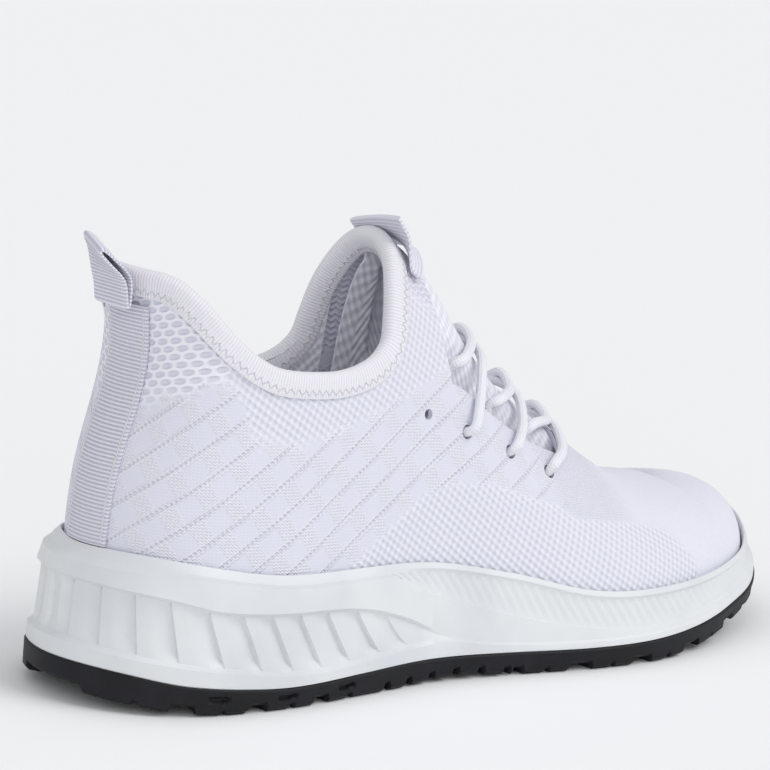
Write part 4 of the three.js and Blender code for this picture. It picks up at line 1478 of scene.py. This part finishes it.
@dataclass
class PullLoop:
    """The loop of webbing above the heel, which swings on its sewn end."""

    hinge: Vector = field(default_factory=lambda: Vector((14.7, 0.0, 117.77)))
    width: float = 16.0
    thickness: float = 1.15
    twist: float = math.radians(26)
    rib: float = 1.15

    def build(self, finish: Finish) -> bpy.types.Object:
        """Makes the loop and dresses it."""
        side_view = (
            (0.0, 0.3), (-0.5, 3.0), (-1.2, 6.5), (-2.9, 10.4), (-5.4, 14.4), (-7.5, 17.0),
            (-7.9, 18.2), (-6.7, 18.4), (-4.1, 16.6), (-1.5, 13.4), (0.3, 9.6), (0.85, 6.0),
            (0.85, 2.5), (0.6, 0.5),
        )
        curve = catmull([Vector((x, 0, z)) for x, z in side_view], 12, closed=True)
        curve.append(curve[0])
        length = sum((b - a).length for a, b in zip(curve, curve[1:]))
        ribs = round(length / self.rib)
        count = ribs * 5
        line = evenly(curve, count)[:-1]
        half = self.width / 2
        ys = [lerp(-half, half, k / 14) for k in range(15)]
        across = [(y, 1) for y in ys] + [(y, -1) for y in reversed(ys)] + [(-half, 1)]

        def place(i: int, j: int) -> Vector:
            point = line[i % count]
            way = (line[(i + 1) % count] - line[i - 1]).normalized()
            normal = Vector((-way.z, 0, way.x))
            y, face = across[j]
            edge = 0.55 if abs(y) >= half - 1e-6 else 1.0
            border = 1 - smoothstep(abs(y), half - 1.9, half - 1.3)
            wave = 0.15 * math.cos(2 * math.pi * i / 5) * border
            spot = point + normal * face * (self.thickness / 2 * edge + wave)
            spot.y = y
            angle = self.twist * smoothstep(spot.z, 7.0, 18.5)
            c, s = math.cos(angle), math.sin(angle)
            x = spot.x
            spot.x = x * c + y * s * 0.62
            spot.y = y * c - x * s * 0.5
            spot.z += 0.2 * y * smoothstep(spot.z, 7.0, 17.0)
            return self.hinge + spot

        piece = shaped_grid(
            "pull_webbing", count, len(across) - 1, place,
            lambda i, j: (across[j][0] / 10, i / count * length / 10),
        )
        clean(piece)
        smooth(piece, 70)
        return settle(piece, finish.material(), "webbing", "pull_loop", body="pull_loop")


@dataclass
class TongueTab:
    """The ribbed tab sewn to the front of the tongue, standing above the collar."""

    form: FootForm
    skin: Skin
    front: float = 0.376
    rise: float = 6.0
    reach_down: float = 15.0
    width: float = 27.0
    shift: float = 5.0
    roll: float = 0.22
    rib: float = 1.5
    rib_rows: int = 6
    rib_relief: float = 0.2
    edge_drop: float = 0.35
    set_back: float = 20.0
    outer: float = 2.7
    inner: float = 1.5

    def build(self, finish: Finish) -> bpy.types.Object:
        """Makes the tab and dresses it."""
        x0, z0 = self.front * SOLE_LENGTH, self.form.tongue
        slope = Vector((-0.62, 0, 0.78)).normalized()
        middle = self.form.spine(x0) - self.shift
        half = self.width / 2
        ys = [lerp(-half, half, k / 20) for k in range(21)]
        across = [(y, self.outer) for y in ys] + [(y, self.inner) for y in reversed(ys)]
        across.append((-half, self.outer))
        rows = round((self.rise + self.reach_down) / self.rib) * self.rib_rows
        out = Vector((slope.z, 0, -slope.x))

        def place(i: int, j: int) -> Vector:
            y, height = across[i]
            s = lerp(-self.reach_down, self.rise - self.roll * (y + half), j / rows)
            at = Vector((x0, middle + y, z0)) + slope * min(s, -1.0)
            start = at - out * self.set_back
            hit = self.skin.tree.ray_cast(start, out)[0]
            if hit is None:
                hit = self.skin.nearest(at)[0]
            spot, normal = self.skin.nearest(hit)
            ribbed = height == self.outer
            wave = self.rib_relief * math.cos(2 * math.pi * j / self.rib_rows) if ribbed else 0.0
            edge = self.edge_drop if ribbed and abs(y) >= half - 1e-6 else 0.0
            proud, beyond = height + wave - edge, slope * max(s + 1.0, 0.0)
            sewn = spot + normal * proud + beyond
            centre = self.skin.tree.ray_cast(start - Vector((0, y, 0)), out)[0]
            free = centre + out * proud + beyond
            free += Vector((0, y, 0)) - out * (0.006 * y * y)
            return sewn.lerp(free, smoothstep(s, -11.0, 0.0))

        piece = shaped_grid(
            "tongue_webbing", len(across) - 1, rows, place,
            lambda i, j: (across[i][0] / 10, j / rows * (self.rise + self.reach_down) / 10),
        )
        clean(piece)
        fill_ends(piece)
        smooth(piece, 60)
        return settle(piece, finish.material(), "webbing", "tongue_tab")


# ---------------------------------------------------------------- the sole


@dataclass
class SoleLines:
    """Curves along the sole that both of its pieces take their heights from."""

    form: FootForm
    wall: float = 6.4
    gap: float = 0.3
    lip: float = 1.2
    base: float = 5.0

    def __post_init__(self) -> None:
        """Sets out the curves."""
        heel, fore, toe, w = (
            self.form.heel_rim, self.form.forefoot_rim, self.form.toe_rim, self.wall
        )
        self.flare = Along((
            (0, 9.4), (0.07, 7.6), (0.2, 6.8), (0.4, 4.9), (0.6, 3.5), (0.85, 3.3), (1, 4.5),
        ))
        self.rubber = Along((
            (0, w + 8.2), (0.05, w + 5.8), (0.1, w + 2.6), (0.2, w), (0.4, w + 1.2),
            (0.6, w + 0.4), (0.7, w + 0.8), (0.78, w + 2.4), (0.86, w + 5.4), (0.93, w + 9.4),
            (1, w + 17),
        ))
        self.band_bottom = Along((
            (0, heel - 4), (0.32, heel - 10.5), (0.39, heel - 17), (0.455, fore - 1),
            (0.55, fore - 8), (0.66, fore - 12.5), (0.8, fore - 10.5), (0.9, fore - 6),
            (1, toe - 7.5),
        ))
        self.step_line = Along((
            (0, heel - 6.5), (0.08, heel - 11), (0.12, heel - 14.5), (0.17, heel - 16.4),
            (0.27, heel - 17.8), (0.32, heel - 20), (0.37, heel - 24.5), (0.4, fore - 6.4),
            (0.435, fore - 10.2), (0.5, fore - 13), (0.6, fore - 14), (0.7, fore - 13.7),
            (0.8, fore - 11.7), (0.9, fore - 7.4), (1, toe - 8.8),
        ))
        self.ledge_line = Along((
            (0, w + 14.6), (0.06, w + 10), (0.12, w + 6.8), (0.2, w + 3.6), (0.27, w + 3.5),
            (0.37, w + 5.6), (0.435, w + 6), (0.5, w + 3.6), (0.6, w + 2.4), (0.7, w + 2.8),
            (0.8, w + 4.8), (0.9, w + 9.1), (1, w + 18.6),
        ))

    @staticmethod
    def tread(x: float) -> float:
        """Height of the outsole's underside at a station."""
        s = x / SOLE_LENGTH
        arch = max(0.0, 1 - abs(s - ARCH_STATION) / ARCH_HALF_LENGTH)
        bevel = HEEL_BEVEL * max(0.0, 1 - s / BEVEL_END) ** 1.6
        spring = TOE_SPRING * max(0.0, (s - SPRING_START) / (1 - SPRING_START)) ** 1.9
        return bevel + spring + ARCH_LIFT * arch * arch * (3 - 2 * arch)

    def column(self, spoke: Spoke) -> list[Pair]:
        """Distances out and heights from the rim down to the rubber's edge."""
        rim = spoke.reach + self.lip
        edge = spoke.x + spoke.out_x * rim
        wide, top = self.flare(edge), self.form.rim(edge)
        panel = 1 - smoothstep(edge, 0.37 * SOLE_LENGTH, 0.435 * SOLE_LENGTH)
        band = 0.9 * smoothstep(edge, 0.33 * SOLE_LENGTH, 0.42 * SOLE_LENGTH)
        band_top = top - 2.6
        band_low = min(self.band_bottom(edge), band_top - 1.2)
        step = min(self.step_line(edge), band_low - 0.8)
        ledge = min(self.ledge_line(edge), step - 1)
        rubber = min(self.rubber(edge), ledge - 0.6) + self.gap
        recess = 1.4 * panel
        soft = min(1.2, 0.3 * (step - ledge))
        return [
            (rim, top), (rim + 0.22 * wide, top - 1.6), (rim + 0.3 * wide - band, band_top),
            (rim + 0.6 * wide - band, band_low + 0.6), (rim + 0.62 * wide, band_low),
            (rim + 0.78 * wide, step), (rim + 0.8 * wide - recess, step - soft),
            (rim + 0.95 * wide - recess, ledge + soft), (rim + wide, ledge),
            (rim + wide, rubber),
        ]

    def edge_point(self, spoke: Spoke) -> Vector:
        """The widest point of a column, in plan."""
        out = spoke.reach + self.lip
        return Vector((spoke.x + spoke.out_x * out, spoke.y + spoke.out_y * out, 0))


@dataclass
class Midsole:
    """The foam cup, with its heel flutes and forefoot ribs cut into the wall."""

    form: FootForm
    lines: SoleLines
    flute: float = 1.45
    rib: float = 0.55
    rib_pitch: float = 3.9
    rib_rows: int = 8
    flute_rows: int = 12
    creases: tuple[float, ...] = (
        -4.5, 4.5, 13.5, 23.1, 33.6, 45, 55.7, 66.8, 77.8, 89.1, 102, 114.3, 127, 140,
    )

    def flute_at(self, along: float, share: float) -> float:
        """Depth of the flutes: leaves that sink slowly and end in a sharp crease.

        Args:
            along: distance round the edge from the middle of the heel.
            share: height in the panel, 0 at its ledge and 1 at its step.

        Returns:
            The depth below the panel's face.
        """
        s = along
        for a, b in zip(self.creases, self.creases[1:]):
            if a <= s < b:
                f = (s - a) / (b - a)
                ends = smoothstep(share, 0.0, 0.16) * smoothstep(1 - share, 0.0, 0.12)
                fade = 1 - smoothstep(along, 104, 122)
                return self.flute * smoothstep(f, 0.3, 0.97) * ends * fade
        return 0.0

    def rib_at(self, x: float, share: float) -> float:
        """Depth of the fine ribs at a station and height in the band."""
        s = x - 7 * (1 - share)
        wave = (0.5 + 0.5 * math.cos(2 * math.pi * s / self.rib_pitch)) ** 2
        start = smoothstep(x, 92, 108)
        fade = 1 - smoothstep(x, 212, 262)
        top = smoothstep(1 - share, 0.0, 0.12)
        low = smoothstep(share, 0.0, lerp(0.7, 0.18, fade))
        return self.rib * wave * start * fade * top * low

    def column(self, spoke: Spoke) -> list[Pair]:
        """Distances out and heights once round the cup, before anything is cut into it."""
        p = self.lines.column(spoke)
        reach, floor, top = spoke.reach, spoke.low - 2.4, p[0][1]
        cup = [
            (0.0, floor), (reach * 0.6, floor), (reach - 1.6, floor), (reach + 0.25, floor + 0.6),
            (reach + 0.3, lerp(floor, top, 0.6)), (reach + 0.45, top - 0.6), (reach + 0.75, top),
        ]
        wall = [p[0], (p[0][0] + 0.1, top - 0.15), p[1], p[2]]
        for a, b, steps in ((p[2], p[3], self.rib_rows), (p[6], p[7], self.flute_rows)):
            if steps == self.flute_rows:
                wall += p[4:7]
            for k in range(1, steps):
                wall.append((lerp(a[0], b[0], k / steps), lerp(a[1], b[1], k / steps)))
            wall.append(b)
        wall += p[8:10]
        under = []
        for share in (0.93, 0.55, 0.0):
            r = p[9][0] * share
            z = self.lines.tread(spoke.x + spoke.out_x * r) + self.lines.base + self.lines.gap
            under.append((r, min(z, p[9][1]) if share else z))
        return [*cup, *wall, *under]

    def columns(self) -> list[list[Vector]]:
        """All points of the cup, its grid slid along the wall so that it leans as the flutes do."""
        ring = self.form.ring(104, 320, 100)
        edges = [self.lines.edge_point(s) for s in ring]
        run = [0.0]
        for a, b in zip(edges, edges[1:]):
            run.append(run[-1] + (b - a).length)
        plain = [
            [Vector((s.x + s.out_x * r, s.y + s.out_y * r, z)) for r, z in self.column(s)]
            for s in ring
        ]
        band, panel = 10, 14 + self.rib_rows - 1
        lean = {panel - k: -0.5 * (1 - k / 6) for k in range(1, 6)}
        lean |= {panel + k: k / self.flute_rows - 0.5 for k in range(self.flute_rows + 1)}
        lean |= {panel + self.flute_rows + 1: 0.4, panel + self.flute_rows + 2: 0.25}
        out = [list(column) for column in plain]
        last = len(ring) - 2
        for i, spoke in enumerate(ring):
            along = min(run[i], run[-1] - run[i])
            ahead = 1 if run[i] < run[-1] / 2 else -1
            slant = 10 * (smoothstep(along, 0, 90) - smoothstep(along, 100, 180))
            inward = Vector((-spoke.out_x, -spoke.out_y, 0))
            for row, share in lean.items():
                target = run[i] + ahead * slant * share
                k = min(i, last)
                while k < last and run[k + 1] < target:
                    k += 1
                while k > 0 and run[k] > target:
                    k -= 1
                between = clamp((target - run[k]) / (run[k + 1] - run[k]))
                out[i][row] = plain[k][row].lerp(plain[k + 1][row], between)
            for k in range(1, self.flute_rows):
                out[i][panel + k] += inward * self.flute_at(along, 1 - k / self.flute_rows)
            for k in range(1, self.rib_rows):
                out[i][band + k] += inward * self.rib_at(edges[i].x, 1 - k / self.rib_rows)
        return out

    def build(self, finish: Finish) -> bpy.types.Object:
        """Makes the cup and dresses it."""
        columns = self.columns()
        size = len(columns[0]) - 1
        piece = shaped_grid("foam_midsole", len(columns) - 1, size, lambda i, j: columns[i][j])
        clean(piece)
        smooth(piece, 32)
        return settle(piece, finish.material(), "midsole_foam", "midsole")


@dataclass
class Outsole:
    """The rubber outsole: a wall, and a tread of broad lugs with gaps that open at its edge."""

    form: FootForm
    lines: SoleLines
    relief: float = 2.1
    edge_round: float = 1.1
    edge_chamfer: float = 1.2
    wall_steps: int = 8

    def gap_at(self, x: float) -> float:
        """1 in the gaps between lugs and 0 on the lugs."""
        if x < 92:
            pitch, lug = 24.0, 17.5
            s = x - 3
        elif x < 150:
            pitch, lug = 9.5, 7.0
            s = x - 92
        else:
            pitch, lug = 25.0, 16.5
            s = x - 154
        f = s % pitch
        notch = lug * 0.47 < f < lug * 0.47 + 1.6 and pitch > 20
        return 1.0 if f > lug else 0.55 if notch else 0.0

    def pocket_at(self, x: float, share: float) -> float:
        """Depth of the small pockets in the wall of the heel lugs."""
        if x > 92 or x < 20:
            return 0.0
        f = (x - 3) % 24.0
        return 1.1 if 4 < f < 10.5 and 0.25 < share < 0.62 else 0.0

    def build(self, finish: Finish) -> bpy.types.Object:
        """Makes the outsole and dresses it."""
        ring = self.form.ring(60, 300, 84)
        columns = []
        for spoke in ring:
            rim, rubber = self.lines.column(spoke)[9]
            top = rubber - self.lines.gap
            side = rim + 0.5
            x = spoke.x + spoke.out_x * side
            tread = self.lines.tread(x)
            gap = self.gap_at(x)
            corner = min(tread + self.edge_round, top - 1.8) + gap * self.relief
            inner = []
            for share in (0.0, 0.5, 0.93):
                r = rim * share
                z = self.lines.tread(spoke.x + spoke.out_x * r) + self.lines.base
                inner.append((r, min(z, top if share else 1e3)))
            wall = [(rim, top), (side, top - 0.5)]
            for k in range(1, self.wall_steps):
                share = k / self.wall_steps
                wall.append((side - self.pocket_at(x, share), lerp(top - 0.5, corner, share)))
            wall += [(side, corner), (side - self.edge_chamfer, tread + gap * self.relief)]
            under = []
            lifts = {0.9: gap, 0.72: gap, 0.6: max(gap, 1.0), 0.58: 0.0, 0.3: 0.0, 0.0: 0.0}
            for share, lift in lifts.items():
                r = side * share
                here = spoke.x + spoke.out_x * r
                under.append((r, self.lines.tread(here) + lift * self.relief))
            profile = [*inner, *wall, *under]
            columns.append([
                Vector((spoke.x + spoke.out_x * r, spoke.y + spoke.out_y * r, z))
                for r, z in profile
            ])
        piece = shaped_grid(
            "rubber_outsole", len(columns) - 1, len(columns[0]) - 1, lambda i, j: columns[i][j]
        )
        clean(piece)
        smooth(piece, 30)
        return settle(piece, finish.material(), "outsole_rubber", "outsole")


# ---------------------------------------------------------------- the lace


@dataclass
class Lace:
    """One lace, through the three lower pairs of eyelets and across the gusset."""

    form: FootForm
    throat: Throat
    skin: Skin
    wide: float = 3.6
    thick: float = 3.0
    over: float = -2.0
    under: float = 5.3
    slip: float = 22.0

    def half(self, start: int) -> list[Vector]:
        """Points from the bar at the toe end to a tucked end, starting on one side."""
        points: list[Vector] = []

        def add(x: float, side: int, t: float, depth: float) -> None:
            points.append(self.form.on(x, side, t, depth))

        eyes = [s * SOLE_LENGTH for s in self.throat.stations]
        shares = self.throat.heights
        over, under, side = self.over, self.under, start
        for t in (0.86, 0.72, shares[0] + 0.06):
            add(eyes[0], side, t, under)
        for i in range(3):
            origin, dive, cross = eyes[i], eyes[i] - 4, eyes[i] + self.slip
            edge = self.throat.edge(dive)
            add(origin, side, shares[i], under - 1.6)
            add(origin, side, shares[i], 0.8)
            add(lerp(origin, cross, 0.08), side, shares[i] + 0.03, over - 0.9)
            add(lerp(origin, cross, 0.5), side, 0.6, over)
            add(lerp(origin, cross, 0.88), side, 0.8, over)
            beneath = start * (-1 if i % 2 else 1) < 0
            add(cross, side, 1, over if beneath else over - 3.2)
            side = -side
            add(lerp(cross, dive, 0.18), side, 0.83, over)
            add(lerp(cross, dive, 0.8), side, edge + 0.11, over + 0.6)
            add(dive, side, edge + 0.045, 3)
            add(dive, side, edge - 0.03, under + 0.2)
            if i < 2:
                add(lerp(dive, eyes[i + 1], 0.75), side, shares[i + 1] + 0.035, under + 0.2)
        turn = eyes[2] - 12
        add(turn - 1, side, 0.31, under + 0.2)
        add(turn + 2, side, 0.25, under)
        for run in (12, 26, 42, 52):
            add(turn + run, side, 0.23, under)
        return points

    def build(self, finish: Finish) -> bpy.types.Object:
        """Makes the lace and dresses it."""
        bar = self.form.on(self.throat.stations[0] * SOLE_LENGTH, 1, 1, self.under)
        knots = [*reversed(self.half(-1)), bar, *self.half(1)]
        curve = catmull(knots, 10)
        length = sum((b - a).length for a, b in zip(curve, curve[1:]))
        path = evenly(curve, round(length / 1.1))
        ups = [self.skin.nearest(point)[1] for point in path]
        for _ in range(6):
            ups = [
                (ups[max(i - 1, 0)] + ups[i] + ups[min(i + 1, len(ups) - 1)]).normalized()
                for i in range(len(ups))
            ]
        piece = tube("lace_line", path, ups, self.wide, self.thick, 14)
        settle(piece, finish.material(), "lace_cord", "lace")
        place = [metres(p) for p in path]
        tuple(place[0])
        self.thick * 1.09 * MM
        [tuple(p) for p in place]
        return piece


# ---------------------------------------------------------------- the studio


@dataclass
class Studio:
    """A pale sweep, soft light and the camera."""

    target: Vector = field(default_factory=lambda: Vector((-0.01725, 0.00785, 0.0845)))
    camera: Vector = field(default_factory=lambda: Vector((-0.81725, -0.89155, 0.3145)))
    lens: float = 181.43
    roll: float = math.radians(4.74)

    def build(self) -> None:
        """Makes the floor, the lights and the camera."""
        bpy.ops.mesh.primitive_plane_add(size=8, location=(0, 0, -0.0002))
        floor = bpy.context.active_object
        floor.name = "floor"
        material = bpy.data.materials.new("floor_paper")
        material.use_nodes = True
        shader = material.node_tree.nodes["Principled BSDF"]
        shader.inputs["Base Color"].default_value = (0.94, 0.945, 0.945, 1)
        shader.inputs["Roughness"].default_value = 0.95
        shader.inputs["Specular IOR Level"].default_value = 0.1
        floor.data.materials.append(material)
        world = bpy.data.worlds.new("studio")
        world.use_nodes = True
        background = world.node_tree.nodes["Background"]
        background.inputs["Color"].default_value = (0.97, 0.98, 1.0, 1)
        background.inputs["Strength"].default_value = 0.64
        bpy.context.scene.world = world
        bpy.context.scene.view_settings.view_transform = "Standard"
        self.light("key", Vector((0.5, -0.75, 1.0)), 1.05, 36)
        self.light("fill", Vector((-0.62, -0.75, 0.36)), 0.5, 50)
        back = self.camera - self.target
        azimuth = math.atan2(back.x, -back.y)
        right = Vector((math.cos(azimuth), math.sin(azimuth), 0))
        backward = back.normalized()
        up = backward.cross(right)
        c, s = math.cos(self.roll), math.sin(self.roll)
        x_axis, y_axis = right * c + up * s, up * c - right * s
        data = bpy.data.cameras.new("camera")
        data.lens, data.sensor_width = self.lens, 36.0
        data.clip_start, data.clip_end = 0.05, 20.0
        camera = bpy.data.objects.new("camera", data)
        turned = Matrix((x_axis, y_axis, backward)).transposed()
        camera.matrix_world = Matrix.Translation(self.camera) @ turned.to_4x4()
        bpy.context.scene.collection.objects.link(camera)
        bpy.context.scene.camera = camera

    def light(self, name: str, source: Vector, power: float, spread: float) -> None:
        """A sun that comes from a direction, with a soft edge of some degrees."""
        data = bpy.data.lights.new(name, "SUN")
        data.energy, data.angle = power, math.radians(spread)
        lamp = bpy.data.objects.new(name, data)
        lamp.rotation_euler = source.to_track_quat("Z", "Y").to_euler()
        bpy.context.scene.collection.objects.link(lamp)


# ---------------------------------------------------------------- the shoe


def dress_frame(nodes: dict[str, bpy.types.Object], finishes: dict[str, Finish]) -> None:
    """Gives the CAD nodes that stay as they are their materials."""
    for name, finish in finishes.items():
        mesh = nodes[name].data
        mesh.materials.clear()
        mesh.materials.append(finish.material())
        LOG.info("%s: kept from the frame", name)


def main() -> None:
    """Builds the shoe from the sole up, and the studio round it."""
    logging.basicConfig(level=logging.INFO, format="%(name)s: %(message)s")
    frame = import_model()
    form = FootForm()
    skin = Skin.of(form)
    collar = CollarLine(form)
    throat = Throat(form)
    lines = SoleLines(form)
    board = PlainFinish("board_fibre")
    stiff = PlainFinish("stiffener_fibre", light=(0.7, 0.7, 0.72))
    tape = PlainFinish("backing_tape", light=(0.78, 0.78, 0.82), grain=1200.0)
    foam = PlainFinish("padding_foam", light=(0.82, 0.82, 0.84), dark=(0.7, 0.7, 0.74))
    tip = PlainFinish("tip_plastic", roughness=0.3, light=(0.84, 0.85, 0.88), grain=200.0)
    webbing = RibbedFinish(
        "grosgrain", roughness=0.75, sheen=0.1, pitch=1.1516, relief=0.00012, across=True,
        light=(0.78, 0.78, 0.85), dark=(0.4, 0.4, 0.5),
    )
    ribbing = RibbedFinish(
        "tab_ribbing", roughness=0.8, sheen=0.1, pitch=1.5846, relief=0.00012, across=True,
        light=(0.8, 0.8, 0.87), dark=(0.55, 0.55, 0.66),
    )
    thread = RibbedFinish(
        "thread", roughness=0.7, pitch=0.5, light=(0.9, 0.89, 0.93), dark=(0.8, 0.79, 0.84)
    )
    Outsole(form, lines).build(RubberFinish("rubber", roughness=0.5, specular=0.3))
    Midsole(form, lines).build(FoamFinish("foam", roughness=0.45))
    Insole(form).build(MeshFinish("insole_cloth", roughness=0.9, along=2.4, across=1.6))
    Lining(form, collar, skin).build(MeshFinish("lining_knit", roughness=0.9, sheen=0.2))
    padding = Lining(
        form, collar, skin, "collar_pad", "padding", "collar_padding", thickness=1.6,
        sink=-2.0, trim=-8.0, low=70.3,
    ).build(foam)
    Gusset(form, throat).build(
        MeshFinish("gusset_knit", roughness=0.9, sheen=0.2, along=4.0, across=2.4)
    )
    KnitUpper(form, collar, throat).build(KnitFinish("knit", roughness=0.85, sheen=0.12))
    CollarBinding(collar, skin).build(
        RibbedFinish("binding", roughness=0.8, sheen=0.2, pitch=1.0, relief=0.00014,
                     light=(0.86, 0.845, 0.89), dark=(0.7, 0.69, 0.75)),
        thread,
    )
    HeelStrip(skin).build(webbing, thread)
    PullLoop().build(webbing)
    TongueTab(form, skin).build(ribbing)
    Lace(form, throat, skin).build(
        CordFinish("lace_weave", roughness=0.75, sheen=0.1, light=(0.88, 0.885, 0.93),
                   dark=(0.72, 0.73, 0.79))
    )
    dress_frame(frame["nodes"], {
        "lasting_board": board, "heel_counter": stiff, "toe_puff": stiff,
        "eyelet_backing_outer": tape, "eyelet_backing_inner": tape,
        "lace_tip_inner": tip, "lace_tip_outer": tip,
    })
    Studio().build()


if __name__ == "__main__":
    main()
